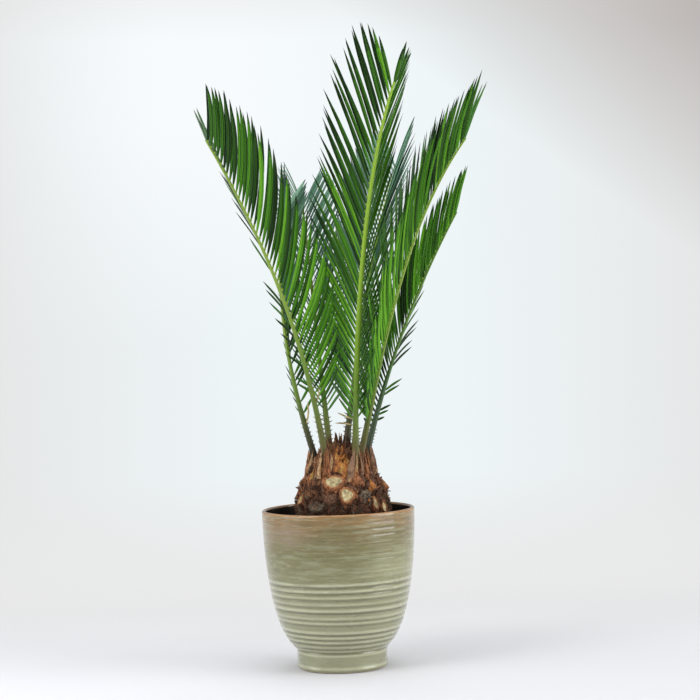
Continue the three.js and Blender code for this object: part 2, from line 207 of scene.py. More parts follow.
class Paint:
    """The shader nodes of a material or of the world, and short ways to add the usual ones."""

    def __init__(self, tree):
        self.tree = tree
        tree.nodes.clear()

    def feed(self, node, inputs):
        """Gives a node's inputs their numbers, hex colours or links."""
        for name, value in inputs.items():
            if isinstance(value, bpy.types.Node):
                value = value.outputs[0]
            if isinstance(value, bpy.types.NodeSocket):
                self.tree.links.new(value, node.inputs[name])
            else:
                node.inputs[name].default_value = linear(value) if isinstance(value, str) else value

    def node(self, kind, inputs=None, **settings):
        made = self.tree.nodes.new("ShaderNode" + kind)
        for name, value in settings.items():
            setattr(made, name, value)
        self.feed(made, inputs or {})
        return made

    def place(self):
        return self.node("TexCoord").outputs["Object"]

    def axes(self, vector):
        """The X, Y and Z of a vector."""
        return list(self.node("SeparateXYZ", {0: vector}).outputs)

    def attribute(self, name):
        return self.node("Attribute", attribute_name=name).outputs["Fac"]

    def maths(self, operation, *values):
        return self.node("Math", dict(enumerate(values)), operation=operation).outputs[0]

    def product(self, first, *others):
        for other in others:
            first = self.maths("MULTIPLY", first, other)
        return first

    def spread(self, value, low, high, start=0.0, end=1.0):
        """A value's range from low to high, spread from start to end."""
        return self.node("MapRange", {0: value, 1: low, 2: high, 3: start, 4: end}).outputs[0]

    def spread_mm(self, value, low, high, start=0.0, end=1.0):
        """The same, from low to high in mm."""
        return self.spread(value, low * MM, high * MM, start, end)

    def mix(self, factor, first, second):
        """Two colours mixed by a factor."""
        return self.node("Mix", {0: factor, 6: first, 7: second}, data_type="RGBA").outputs[2]

    def ramp(self, value, *stops):
        """The colour of a value between stops of a value and its colour."""
        made = self.node("ValToRGB", {0: value})
        elements = made.color_ramp.elements
        elements.remove(elements[-1])
        elements[0].position = stops[0][0]
        elements[0].color = linear(stops[0][1])
        for position, colour in stops[1:]:
            elements.new(position).color = linear(colour)
        return made.outputs[0]

    def noise(self, *sizes, detail=3, roughness=0.5):
        """Noise whose lumps have these sizes along X, Y and Z, in mm."""
        scale = tuple(1 / (size * MM) for size in sizes)
        drawn = self.node("Mapping", {"Vector": self.place(), "Scale": scale})
        inputs = {"Vector": drawn, "Scale": 1, "Detail": detail, "Roughness": roughness}
        return self.node("TexNoise", inputs).outputs[0]


class Finish(Paint):
    """A material whose looks are fed to one Principled shader."""

    def __init__(self, name, roughness, looks=None):
        self.material = bpy.data.materials.new(name)
        self.material.use_nodes = True
        super().__init__(self.material.node_tree)
        self.shader = self.node("BsdfPrincipled", {"Roughness": roughness, **(looks or {})})
        self.output = self.node("OutputMaterial", {"Surface": self.shader})

    def bump(self, distance, height, strength=1.0):
        """Raises the surface by up to a distance in mm."""
        inputs = {"Strength": strength, "Distance": distance * MM, "Height": height}
        self.feed(self.shader, {"Normal": self.node("Bump", inputs)})

    def coloured(self, colour):
        self.feed(self.shader, {"Base Color": colour})
        return self.material


def lerp(start, end, share):
    return start + (end - start) * share


def unit(vector):
    return vector / np.linalg.norm(vector)


def wrapped(angle):
    """The same direction from -180 to 180."""
    return (angle + 180) % 360 - 180


def level_ways(direction):
    """The level ways in a direction and to the left of it."""
    turn = math.radians(direction)
    out = np.array([math.cos(turn), math.sin(turn), 0])
    return out, np.array([-out[1], out[0], 0])


def around_stem(radius, direction, height):
    """A point at a distance from the stem's axis, in a direction, at a height, in mm."""
    return np.array([STEM_OFFSET, 0, height]) + radius * level_ways(direction)[0]


def ring(centre, wide, deep, half, thick, sides):
    """Points of an oval ring: half is its reach along the wide way, thick along the deep."""
    turns = np.arange(sides)[:, None] * 2 * math.pi / sides
    return centre + wide * (half * np.cos(turns)) + deep * (thick * np.sin(turns))


def select_only(piece):
    """Leaves nothing selected but this piece, and makes it the active one."""
    bpy.ops.object.select_all(action="DESELECT")
    piece.select_set(True)
    bpy.context.view_layer.objects.active = piece


def smooth_under(piece, angle):
    """Shades the piece smooth where its faces meet at less than an angle."""
    select_only(piece)
    bpy.ops.object.shade_smooth_by_angle(angle=math.radians(angle))


def dress(piece, slot, *nodes):
    """The piece rides on the plant and stands for CAD nodes. Its slot is not used."""
    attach(piece, BODY)
    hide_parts(*nodes)


class Pile:
    """Points, faces and material slots of many small closed shapes, joined in one mesh."""

    def __init__(self):
        self.points = []
        self.faces = []
        self.slots = []
        self.count = 0

    def add(self, points, faces, slots):
        self.points.append(np.asarray(points))
        self.faces.extend([tuple(corner + self.count for corner in face) for face in faces])
        self.slots.extend([slots] * len(faces) if isinstance(slots, int) else slots)
        self.count += len(points)

    def piece(self, name, materials, smooth_angle, slot, *nodes):
        """Makes the mesh, turns its faces outward, and dresses it."""
        mesh = bpy.data.meshes.new(name)
        mesh.from_pydata((np.concatenate(self.points) * MM).tolist(), [], self.faces)
        for material in materials:
            mesh.materials.append(material)
        mesh.polygons.foreach_set("material_index", np.array(self.slots, dtype=np.int32))
        mesh.update()
        made = bpy.data.objects.new(name, mesh)
        bpy.context.scene.collection.objects.link(made)
        select_only(made)
        bpy.ops.object.mode_set(mode="EDIT")
        bpy.ops.mesh.select_all(action="SELECT")
        bpy.ops.mesh.normals_make_consistent(inside=False)
        bpy.ops.object.mode_set(mode="OBJECT")
        if smooth_angle:
            smooth_under(made, smooth_angle)
        dress(made, slot, *nodes)
        return made


def tube_faces(rings, sides, end_closed=True):
    """Faces of a closed tube of rings with that many sides each."""
    faces = []
    for low in range(0, (rings - 1) * sides, sides):
        for side in range(sides):
            following = low + (side + 1) % sides
            faces.append((low + side, following, following + sides, low + side + sides))
    faces.append(tuple(range(sides - 1, -1, -1)))
    if end_closed:
        faces.append(tuple(range((rings - 1) * sides, rings * sides)))
    return faces


def pointed_tube_faces(rings, sides):
    """Faces of a tube whose end closes in one point, which comes after the rings."""
    last = (rings - 1) * sides
    point = [(last + side, last + (side + 1) % sides, last + sides) for side in range(sides)]
    return tube_faces(rings, sides, end_closed=False) + point


def strand(route, wide_ways, widths, thickness):
    """Points of a flattened four-sided strand along a route, which ends in a point."""
    points = []
    for number in range(len(route) - 1):
        along = unit(route[number + 1] - route[number])
        wide = unit(wide_ways[number] - wide_ways[number] @ along * along)
        half = widths[number] / 2
        points.extend(ring(route[number], wide, np.cross(along, wide), half, thickness * half, 4))
    points.append(route[-1])
    return np.array(points)


def frayed(rng, fray, *shape):
    """A strand's points, each strayed by up to the fray in mm."""
    points = strand(*shape)
    return points + rng.uniform(-fray, fray, points.shape)


def spun(name, profile, steps, middle=0):
    """A closed solid of revolution: one vertex is drawn along the profile of (radius,
    height) pairs in mm, then spun a full turn. Its axis stands at the middle, on X."""
    bpy.ops.object.select_all(action="DESELECT")
    first = (profile[0][0] * MM, 0, profile[0][1] * MM)
    bpy.ops.mesh.primitive_plane_add(size=MM, location=first)
    piece = bpy.context.object
    piece.name = name
    piece.data.name = name
    bpy.ops.object.transform_apply(location=True, rotation=True, scale=True)
    bpy.ops.object.mode_set(mode="EDIT")
    bpy.ops.mesh.select_mode(type="VERT")
    bpy.ops.mesh.select_all(action="SELECT")
    bpy.ops.mesh.merge(type="CENTER")
    for (radius, height), (next_radius, next_height) in zip(profile, profile[1:]):
        step = ((next_radius - radius) * MM, 0, (next_height - height) * MM)
        bpy.ops.mesh.extrude_region_move(TRANSFORM_OT_translate={"value": step})
    bpy.ops.mesh.select_all(action="SELECT")
    bpy.ops.mesh.spin(steps=steps, angle=2 * math.pi, center=(0, 0, 0), axis=(0, 0, 1))
    bpy.ops.mesh.select_all(action="SELECT")
    bpy.ops.mesh.remove_doubles(threshold=0.02 * MM)
    bpy.ops.mesh.normals_make_consistent(inside=False)
    bpy.ops.transform.translate(value=(middle * MM, 0, 0))
    bpy.ops.object.mode_set(mode="OBJECT")
    return piece


def points_of(piece):
    """The piece's points, in mm."""
    flat = np.empty(3 * len(piece.data.vertices))
    piece.data.vertices.foreach_get("co", flat)
    return flat.reshape(-1, 3) / MM


def move_points(piece, points):
    """Puts the piece's points at these places, in mm."""
    piece.data.vertices.foreach_set("co", (points * MM).ravel())
    piece.data.update()


def unit_ball(subdivisions):
    """Points and faces of a ball of radius 1."""
    bpy.ops.object.select_all(action="DESELECT")
    bpy.ops.mesh.primitive_ico_sphere_add(subdivisions=subdivisions, radius=1, location=(0, 0, 0))
    ball = bpy.context.object
    points = points_of(ball) * MM
    faces = [tuple(face.vertices) for face in ball.data.polygons]
    bpy.data.objects.remove(ball)
    return points, faces


def write_attribute(piece, name, values):
    """A number at each point that a material can read."""
    layer = piece.data.attributes.new(name, "FLOAT", "POINT")
    layer.data.foreach_set("value", np.asarray(values, dtype=np.float32))


def lumps(points, *layers):
    """Smooth noise at each point, in layers of grain in mm, seed and height."""
    total = 0
    for grain, seed, height in layers:
        shift = Vector((seed * 17.3, seed * 5.1, seed * 9.7))
        total = total + height * np.array([noise.noise(Vector(p) / grain + shift) for p in points])
    return total


# Materials -------------------------------------------------------------------------

def glazed_stoneware():
    """Sage glaze on thrown stoneware: glossy, lighter cream on the ridges and darker in
    the grooves, and it burns to brown near the rim."""
    finish = Finish("sage_glaze_on_stoneware", 0.3, {"Coat Weight": 0.8, "Coat Roughness": 0.12})
    side, _, height = finish.axes(finish.place())
    patches = finish.noise(34, 34, 11)
    streaks = finish.noise(26, 26, 1.5)
    hairs = finish.noise(16, 16, 0.8, detail=2)
    blots = finish.noise(30, 30, 4.5, detail=4, roughness=0.6)
    # The height at which each colour of the glaze starts wanders by some millimetres.
    wander = finish.maths("MULTIPLY_ADD", patches, 42 * MM, height)
    wander = finish.maths("MULTIPLY_ADD", streaks, 20 * MM, wander)
    body = finish.ramp(
        finish.spread_mm(wander, 31, POT_HEIGHT + 31), (0.0, "#868768"), (0.12, "#8c8d6d"),
        (0.4, "#8a8b69"), (0.6, "#7a784d"), (0.76, "#6c6934"), (0.86, "#6f612f"),
        (0.93, "#7f602d"), (1.0, "#8d6b36"),
    )
    high = finish.spread_mm(height, 95, 125)
    # Relief also carries the foot's two painted highlight rings, which take the cream.
    relief = finish.attribute("relief")
    groove_tone = finish.mix(high, "#65654b", "#5c582e")
    cream = finish.mix(high, "#b4b595", "#989668")
    shown = finish.mix(finish.spread(relief, 0.5, 0.12), body, groove_tone)
    shown = finish.mix(finish.spread(relief, 0.52, 0.85), shown, cream)
    # Thin streaks and blots run round the pot, most of them high up: the noise, where it
    # starts to show and where it is full, how strong it then is, and its colour.
    above = finish.spread_mm(height, 60, 110, 0.3, 1)
    for field, start, full, strength, colour in [
        (blots, 0.52, 0.57, 0.4, finish.mix(high, "#75744f", "#66552f")),
        (blots, 0.46, 0.4, 0.4, "#94967a"),
        (streaks, 0.45, 0.36, 0.45, "#544f2c"),
        (hairs, 0.57, 0.7, 0.45, "#aeab8d"),
    ]:
        factor = finish.product(finish.spread(field, start, full, 0, strength), above)
        shown = finish.mix(factor, shown, colour)
    # One side carries a dusty pink cloud below the rim.
    band = finish.maths("MULTIPLY_ADD", blots, 22 * MM, height)
    pink = finish.product(
        finish.spread(blots, 0.42, 0.54, 0.1, 0.45), finish.spread_mm(side, -22, -48),
        finish.spread_mm(band, 141, 149), finish.spread_mm(band, 168, 161),
    )
    shown = finish.mix(pink, shown, "#8f7a66")
    # Painted highlight: the other side is paler above the grooves, standing for the glaze's broad sheen
    # on that flank.
    painted_highlight_flank = finish.product(
        finish.spread_mm(side, 8, 46, 0, 0.42), finish.spread_mm(height, 93, 104),
        finish.spread_mm(height, 142, 106),
    )
    shown = finish.mix(painted_highlight_flank, shown, "#a9a985")
    # The glaze lies a little uneven, so reflections break up into short level strokes.
    finish.feed(finish.shader, {"Roughness": finish.spread(patches, 0.3, 0.7, 0.2, 0.36)})
    finish.bump(0.35, finish.noise(22, 22, 2.4, detail=2), 0.7)
    return finish.coloured(shown)


def clouded(name, dark, light, sizes, roughness, looks=None):
    """A finish that drifts between two colours, in clouds of these sizes in mm."""
    finish = Finish(name, roughness, looks)
    return finish.coloured(finish.mix(finish.noise(*sizes), dark, light))


def mottled(name, dark, light, grain, roughness, bump=0.0, streak=1.0):
    """A dry natural surface that mottles between two colours, and darkens in broad patches
    of painted shade that stand for hollows. Grain is the size of a mottle in mm, streak how
    many times longer than wide it is, up the stem."""
    finish = Finish(name, roughness, {"Specular IOR Level": 0.25})
    cloud = finish.noise(grain, grain, grain * streak, detail=4, roughness=0.6)
    shown = finish.mix(finish.spread(cloud, 0.32, 0.68), dark, light)
    # Painted shade: broad darker patches, towards near-black, that stand for hollows.
    painted_hollow_shade = finish.noise(5.5, 5.5, 5.5, detail=2)
    if bump:
        fine = grain / 2.7
        finish.bump(bump, finish.noise(fine, fine, fine * streak, detail=5))
    return finish.coloured(finish.mix(finish.spread(painted_hollow_shade, 0.5, 0.36, 0, 0.5), shown, "#1c100a"))


def leaf_blade(name, colour, roughness, shine):
    """Leathery cycad leaflet with a waxy cuticle, in one of the greens of the frond."""
    return Finish(name, roughness, {"Specular IOR Level": shine}).coloured(colour)


def rib_skin(name, sheath, stalk, rib):
    """Waxy skin of stalk and rib: brown and felted at the foot, then the stalk's own
    colour, then yellow-green where the leaflets stand. The stalk is veined."""
    finish = Finish(name, 0.42, {"Specular IOR Level": 0.3})
    rise = finish.attribute("rise")
    body = finish.ramp(
        rise, (0.0, sheath[0]), (0.1, sheath[1]), (0.14, stalk[0]), (0.22, stalk[1]),
        (0.36, rib[0]), (0.6, rib[1]),
    )
    veil = finish.spread(finish.noise(1.6, 1.6, 12), 0.42, 0.7, 0, 0.55)
    shown = finish.mix(veil, body, "#3a3a1c")
    return finish.coloured(finish.mix(finish.spread(rise, 0.2, 0.36), shown, body))


# The pot ----------------------------------------------------------------------------

def pot_side(share, inset=0.0):
    """(radius, height) on the pot's side above its foot, at a share of its curve."""
    knots = np.array([
        (FOOT_RADIUS - inset, FOOT_HEIGHT),
        (FOOT_RADIUS - inset + SWELL_OUT, FOOT_HEIGHT + SWELL_UP),
        (RIM_RADIUS - inset, POT_HEIGHT - RIM_UPRIGHT),
        (RIM_RADIUS - inset, POT_HEIGHT),
    ])
    back = 1 - share
    return np.array([back ** 3, 3 * back ** 2 * share, 3 * back * share ** 2, share ** 3]) @ knots


def pot_radius_at(height, inset=0.0):
    """Radius of the pot's side at a height."""
    if height <= FOOT_HEIGHT:
        return FOOT_RADIUS - inset
    low, high = 0.0, 1.0
    for _ in range(30):
        middle = (low + high) / 2
        if pot_side(middle, inset)[1] < height:
            low = middle
        else:
            high = middle
    return pot_side(low, inset)[0]


def hump(height, middle, half_width):
    """A smooth rise from 0 to 1 and back, round a middle."""
    return np.exp(-((height - middle) / half_width) ** 2)


def turned_relief(height, turn):
    """How deep the grooves and how high the ridges are at heights and turns round the pot."""
    calm = np.clip((height - FOOT_HEIGHT) / 15, 0, 1) * np.clip((POT_HEIGHT - 3 - height) / 8, 0, 1)
    drift = 0.6 * np.sin(turn + height / 31) + 0.4 * np.sin(2 * turn - height / 17)
    height = height + GROOVE_WANDER * drift * calm
    groove = np.zeros_like(height)
    ridge = np.zeros_like(height)
    for number, (middle, deepest) in enumerate(GROOVES):
        if middle > STEADY_GROOVES_BELOW:
            deepest = deepest * (0.6 + 0.4 * np.sin(turn * (1 + number % 3) + number * 2.1 + 0.6))
        groove += deepest * hump(height, middle, GROOVE_HALF_WIDTH)
        ridge += deepest * hump(height, middle + RIDGE_RISE, RIDGE_HALF_WIDTH)
    return groove, ridge


def pot_profile():
    """The pot's half section: out under the foot, up the side, over the lip and down inside."""
    outside = [(0, 0), (FOOT_RADIUS * 0.5, 0), (FOOT_RADIUS - FOOT_EDGE, 0)]
    for corner in (20, 45, 70):
        turn = math.radians(corner)
        reach = FOOT_RADIUS - FOOT_EDGE + FOOT_EDGE * math.sin(turn)
        outside.append((reach, FOOT_EDGE - FOOT_EDGE * math.cos(turn)))
    for height in np.arange(FOOT_EDGE, FOOT_HEIGHT - 0.4, 0.9):
        share = (height - FOOT_EDGE) / (FOOT_HEIGHT - FOOT_EDGE)
        hollow = FOOT_HOLLOW * max(math.sin(math.pi * min(share * 1.15, 1)), 0) ** 0.6
        outside.append((FOOT_RADIUS - hollow, height))
    heights = np.arange(FOOT_HEIGHT, POT_HEIGHT - LIP, POT_STEP)
    outside += [(pot_radius_at(height), height) for height in heights]
    lip = [
        (RIM_RADIUS - WALL / 2 + WALL / 2 * math.cos(turn), POT_HEIGHT - LIP + LIP * math.sin(turn))
        for turn in np.linspace(0.15, math.pi - 0.15, 9)
    ]
    heights = np.linspace(POT_HEIGHT - LIP, FOOT_HEIGHT, 30)
    inside = [(pot_radius_at(height, WALL), height) for height in heights]
    inside += [(FOOT_RADIUS - WALL - FOOT_EDGE, FLOOR_THICKNESS), (0, FLOOR_THICKNESS)]
    return outside + lip + inside


def make_pot():
    pot = spun("glazed_pot", pot_profile(), POT_SIDES)
    points = points_of(pot)
    radius = np.hypot(points[:, 0], points[:, 1])
    height = points[:, 2]
    side = np.array([pot_radius_at(level) for level in height])
    outer = (radius > side - 1.5) & (height > 2) & (height < POT_HEIGHT - 1.5)
    groove, ridge = turned_relief(height, np.arctan2(points[:, 1], points[:, 0]))
    # Painted highlights: two cream rings round the foot, at its rounded bottom edge and at its top.
    foot_ring_highlights = hump(height, 4.6, 1.6) + hump(height, 17.8, 1.3)
    relief = np.clip(0.5 + 0.62 * ridge - 0.7 * groove + 0.36 * foot_ring_highlights, 0, 1)
    share = np.where(outer, (radius - groove * 0.8) / np.maximum(radius, 1), 1)
    points[:, :2] *= share[:, None]
    move_points(pot, points)
    write_attribute(pot, "relief", np.where(outer, relief, 0.5))

    for material in (
        glazed_stoneware(),
        # The liner is near-black: partly a dark glaze, partly painted shade deep inside the pot.
        clouded("near_black_liner_glaze_and_painted_shade", "#15130f", "#383026", (18, 18, 9), 0.22),
        clouded("burnt_orange_rim_glaze", "#7d4f22", "#c09560", (22, 22, 22), 0.2,
                {"Coat Weight": 0.6}),
        clouded("bare_buff_stoneware", "#a89a80", "#cfc4ac", (0.8, 0.8, 0.8), 0.85),
    ):
        pot.data.materials.append(material)
    for face in pot.data.polygons:
        centre = face.center / MM
        if centre.z > POT_HEIGHT - LIP_GLAZE:
            face.material_index = 2
        elif centre.z < BARE_CLAY:
            face.material_index = 3
        elif math.hypot(centre.x, centre.y) < pot_radius_at(centre.z) - LINER_DEPTH:
            face.material_index = 1
    smooth_under(pot, 50)
    dress(pot, "glaze", "pot")


# The soil ---------------------------------------------------------------------------

def make_soil(rng):
    top = SOIL_HEIGHT - 0.3
    inner = pot_radius_at(SOIL_HEIGHT, WALL) - 0.5
    low = FLOOR_THICKNESS + 0.4
    profile = [(0, low), (FOOT_RADIUS - WALL - FOOT_EDGE - 1, low)]
    for level in (FOOT_HEIGHT + 2, 50, 80, 120, 140):
        profile.append((pot_radius_at(level, WALL) - 0.7, level))
    for out in np.arange(0, inner, 2.0):
        profile.append((inner - out, top - SOIL_DIP * min(out / DIP_WIDTH, 1)))
    profile.append((0, top - SOIL_DIP))
    bed = spun("soil_bed", profile, 90)
    points = points_of(bed)
    reach = np.hypot(points[:, 0], points[:, 1])
    loose = (points[:, 2] > LOOSE_ABOVE) & (reach < inner - 0.6)
    points[:, 2] += np.where(loose, lumps(points, (7, 1, 1.9), (2.6, 2, 0.9)) - 0.4, 0)
    move_points(bed, points)
    bed.data.materials.append(
        mottled("moist_potting_soil", "#120d0a", "#33261c", 1.6, 0.95, bump=0.8)
    )
    smooth_under(bed, 60)
    dress(bed, "soil", "potting_soil")

    # Crumbs of soil, fine bark and a few pale grains lie loose on the bed.
    corners, faces = unit_ball(1)
    crumbs = Pile()
    for _ in range(CRUMB_COUNT):
        reach = inner * math.sqrt(rng.uniform(0.33, 0.97))
        turn = rng.uniform(0, 2 * math.pi)
        size = rng.uniform(0.7, 2.2) * np.array([1, rng.uniform(0.6, 1), rng.uniform(0.5, 0.9)])
        spin = Matrix.Rotation(rng.uniform(0, 6.3), 3, Vector(rng.normal(size=3)).normalized())
        shape = corners * (1 + rng.uniform(-0.25, 0.25, (len(corners), 1))) * size
        dip = SOIL_DIP * min((inner - reach) / DIP_WIDTH, 1)
        place = np.array([reach * math.cos(turn), reach * math.sin(turn), top - dip + 0.5])
        crumbs.add(shape @ np.array(spin) + place, faces, int(rng.choice(3, p=[0.55, 0.38, 0.07])))
    crumbs.piece("soil_crumbs", [
        mottled("dark_soil_crumb", "#17110c", "#2d2119", 1.2, 0.95),
        mottled("composted_bark_crumb", "#2c1b10", "#553723", 1.2, 0.9),
        mottled("pale_grit", "#8d8371", "#b7ad98", 1.2, 0.85),
    ], 0, "soil", "potting_soil")


# The stem ---------------------------------------------------------------------------

def stem_radius(height):
    """Radius of the bare stem at a height."""
    if height < STEM_GIRTH_HEIGHT:
        base = SOIL_HEIGHT - SOIL_DIP
        share = (height - base) / (STEM_GIRTH_HEIGHT - base)
        return lerp(STEM_FOOT_RADIUS, STEM_GIRTH_RADIUS, math.sin(share * math.pi / 2)) - STEM_DRAWN_IN
    neck = STEM_DRAWN_IN + NECK_DRAWN_IN * min(max((height - NECK_START) / NECK_RISE, 0), 1)
    if height < CROWN_HEIGHT:
        share = (height - STEM_GIRTH_HEIGHT) / (CROWN_HEIGHT - STEM_GIRTH_HEIGHT)
        return lerp(STEM_GIRTH_RADIUS, CROWN_RADIUS, share ** STEM_TAPER_POWER) - neck
    share = (height - CROWN_HEIGHT) / (STEM_TOP - CROWN_HEIGHT)
    return (CROWN_RADIUS - neck) * math.sqrt(max(1 - share ** 2, 0))


def crown_radius(height):
    """Where the old sheaths stand at a height: on the stem, then upright round the crown."""
    shoulder = CROWN_HEIGHT - 3
    if height < shoulder:
        return stem_radius(height)
    return stem_radius(shoulder) - 0.35 * (height - shoulder)


def stem_place(radius, direction, height):
    """A point at a distance from the middle of the stem, which stands a little to the left
    of the circle of the fronds' feet."""
    return around_stem(radius, direction, height) - np.array([STEM_SHIFT, 0, 0])


def stem_frame(direction, height, lift=0.0):
    """Place on the stem's skin, with the ways out of it, round it and up it."""
    place = stem_place(stem_radius(height) + lift, direction, height)
    above = stem_place(stem_radius(height + 1) + lift, direction, height + 1)
    upward = unit(above - place)
    sideways = level_ways(direction)[1]
    return place, np.cross(sideways, upward), sideways, upward


def spiral(rng, number, stray):
    """Direction of one of many things that stand in a spiral round the stem."""
    return wrapped(number * GOLDEN_ANGLE + rng.uniform(-stray, stray))


# The felts: material, its dark and light colour, size of a mottle, roughness, bump, streak.
FELTS = {
    "umber": ("umber_felt", "#26150c", "#5a3a26", 1.6, 0.95, 0.7, 1.5),
    "brown": ("brown_felt", "#3b251b", "#936b54", 1.4, 0.95, 0.9, 1.4),
    "russet": ("russet_felt", "#58301a", "#ba7d55", 1.6, 0.92, 0.8, 1.8),
    "orange": ("orange_felt", "#84481e", "#d08c4e", 1.7, 0.88, 0.6, 2.2),
    "amber": ("amber_fibre", "#8f602a", "#d2a35e", 1.7, 0.8, 0.5, 2.5),
    "tan": ("tan_fibre", "#876342", "#cca67c", 1.6, 0.8, 0.5, 4),
    "grey": ("grey_brown_felt", "#42362b", "#90806c", 1.3, 0.95, 0.9, 1.2),
}
FELT_NUMBERS = {name: number for number, name in enumerate(FELTS)}
# The felts of a zone from its dark to its light patches, by the share that each one takes.
FELTS_FRONT = [("umber", 0.2), ("russet", 0.3), ("orange", 0.3), ("amber", 0.1), ("tan", 0.1)]
FELTS_LEFT = [("russet", 0.25), ("orange", 0.2), ("amber", 0.35), ("tan", 0.2)]
FELTS_TOP = [("umber", 0.22), ("brown", 0.26), ("russet", 0.36), ("tan", 0.16)]
FELTS_MIDDLE = [("umber", 0.16), ("brown", 0.34), ("russet", 0.3), ("orange", 0.06), ("grey", 0.14)]
FELTS_LOW = [("umber", 0.2), ("brown", 0.34), ("russet", 0.08), ("grey", 0.38)]
FELT_PATCH = 6.5


def felt_at(rng, direction, height):
    """Number of the felt at a place, in patches: dull and grey low down, russet higher,
    and orange where old leaf bases came away between two front stalks."""
    patch = lumps([stem_place(stem_radius(height), direction, height)], (FELT_PATCH, 12, 1))[0]
    level = height + rng.normal(0, 3) + 12 * patch
    if -112 < direction < -72 and 200 < level < 226:
        zone = FELTS_FRONT
    elif -156 < direction < -138 and 199 < level < 213:
        zone = FELTS_LEFT
    elif level > 204:
        zone = FELTS_TOP
    elif level > 182:
        zone = FELTS_MIDDLE
    else:
        zone = FELTS_LOW
    place = 0.5 + patch + rng.normal(0, 0.1)
    for name, portion in zone:
        place -= portion
        if place < 0:
            break
    return FELT_NUMBERS[name]


# Cut leaf bases: direction, height, width and height of the cut face. The first five
# are the ones that show from the front, and the others finish the stem all round.
SCARS = [
    (-102, 196, 19, 14), (-84, 182.5, 13.5, 15), (-155, 177, 8, 10), (-46, 172.5, 6, 12),
    (-30, 167.5, 8, 11), (-5, 190, 13, 11), (25, 176, 11, 13), (58, 197, 14, 11), (82, 180, 12, 13),
    (118, 192, 15, 12), (146, 178, 10, 12), (172, 196, 13, 11), (-178, 182, 8, 9), (100, 166, 9, 9),
]
# Broad clean sheaths that stand where old leaf bases came away: direction, heights of
# the foot and the top, width, how far they stand off the stem, and felt.
BROAD_SHEATHS = [
    (-99, 205, 223, 8.5, 1.6, "orange"), (-92, 204, 216, 7, 2.4, "amber"),
    (-106, 205, 224, 6, 1.2, "russet"), (-85, 200, 213, 8, 2.2, "orange"),
    (-79, 195, 211, 8, 2.2, "tan"), (-72, 195, 215, 9, 2.6, "orange"),
    (-117, 202, 225, 6.5, 1.8, "tan"), (-125, 197, 211, 6, 1.8, "russet"),
    (-150, 195, 209, 6.5, 2.0, "amber"), (-142, 197, 213, 5.5, 1.5, "tan"),
    (-52, 201, 226, 6, 1.8, "tan"), (-44, 197, 218, 6.5, 1.8, "russet"),
    (-33, 195, 215, 6, 1.6, "brown"), (-48, 185, 197, 8, 3.0, "orange"),
    (60, 199, 221, 7, 1.6, "tan"), (105, 198, 218, 8, 1.8, "russet"),
    (150, 200, 221, 7, 1.6, "tan"), (5, 196, 217, 7, 1.6, "brown"),
]
# Round leaf bases, felted over, that swell out of the stem.
KNOB_COUNT = 60
KNOB_LOWEST = 148
KNOB_HIGHEST = 211
KNOB_SIZE = (8, 10.5, 8.5)
KNOB_DEPTH = 3.9
SCAR_LIFT = 1.9
SCAR_SIDES = 26
BUNDLE_ENDS = 9
STRAND_COUNT = 190
STRAND_STEPS = 7
SHEATH_STRANDS = 11
FLAKE_COUNT = 1700
FIBRE_COUNT = 6500
BRACT_COUNT = 70
BRACT_STEPS = 5
BRACT_CIRCLE = 22


def on_scar(direction, height, margin):
    """Whether a place on the stem lies within a cut face, or a margin in mm round it."""
    for middle, level, width, tall in SCARS:
        turn = math.radians(wrapped(direction - middle))
        across = turn * stem_radius(level) / (width / 2 + margin)
        if across ** 2 + ((height - level) / (tall / 2 + margin)) ** 2 < 1:
            return True
    return False


def on_sheath(direction, height):
    """Whether a place on the stem lies under one of the broad sheaths."""
    return any(
        foot - 3 < height < top
        and abs(math.radians(wrapped(direction - middle))) * CROWN_RADIUS < width / 2
        for middle, foot, top, width, _, _ in BROAD_SHEATHS
    )


def make_stem_body(felts):
    base = SOIL_HEIGHT - SOIL_DIP - 3
    heights = np.linspace(base, STEM_TOP - 1.2, 84)
    profile = [(0, base)] + [(stem_radius(max(level, base + 3)) - 2.0, level) for level in heights]
    profile.append((0, STEM_TOP - 1))
    middle = STEM_OFFSET - STEM_SHIFT
    body = spun("stem_body", profile, 150, middle)
    points = points_of(body)
    spread = (points - np.array([middle, 0, 0])) * np.array([1, 1, 0])
    reach = np.maximum(np.linalg.norm(spread, axis=1), 1)
    rise = lumps(points * np.array([1, 1, 0.7]), (8, 3, 1.2), (3.2, 4, 1.2))
    rise += lumps(points, (1.3, 5, 0.8))
    move_points(body, points + spread * (rise / reach)[:, None])
    body.data.materials.append(felts[FELT_NUMBERS["brown"]])
    smooth_under(body, 70)
    dress(body, "felt", "stem")


def make_knobs(rng, felts):
    corners, faces = unit_ball(4)
    knobs = Pile()
    for number in range(KNOB_COUNT):
        height = lerp(KNOB_LOWEST, KNOB_HIGHEST, number / (KNOB_COUNT - 1))
        direction = spiral(rng, number, 6)
        if on_scar(direction, height, 6):
            continue
        place, *ways = stem_frame(direction, height, -KNOB_DEPTH)
        size = np.array(KNOB_SIZE) * lerp(1, 0.7, number / KNOB_COUNT) * rng.uniform(0.8, 1.2, 3)
        shape = (corners * size) @ ways + place
        rise = lumps(shape, (3.6, 6, 1.3), (1.7, 7, 1.1), (0.8, 8, 0.6))
        shape = shape + (corners @ ways) * rise[:, None]
        knobs.add(shape, faces, felt_at(rng, direction, height))
    knobs.piece("leaf_base_knobs", felts, 70, "felt", "stem")


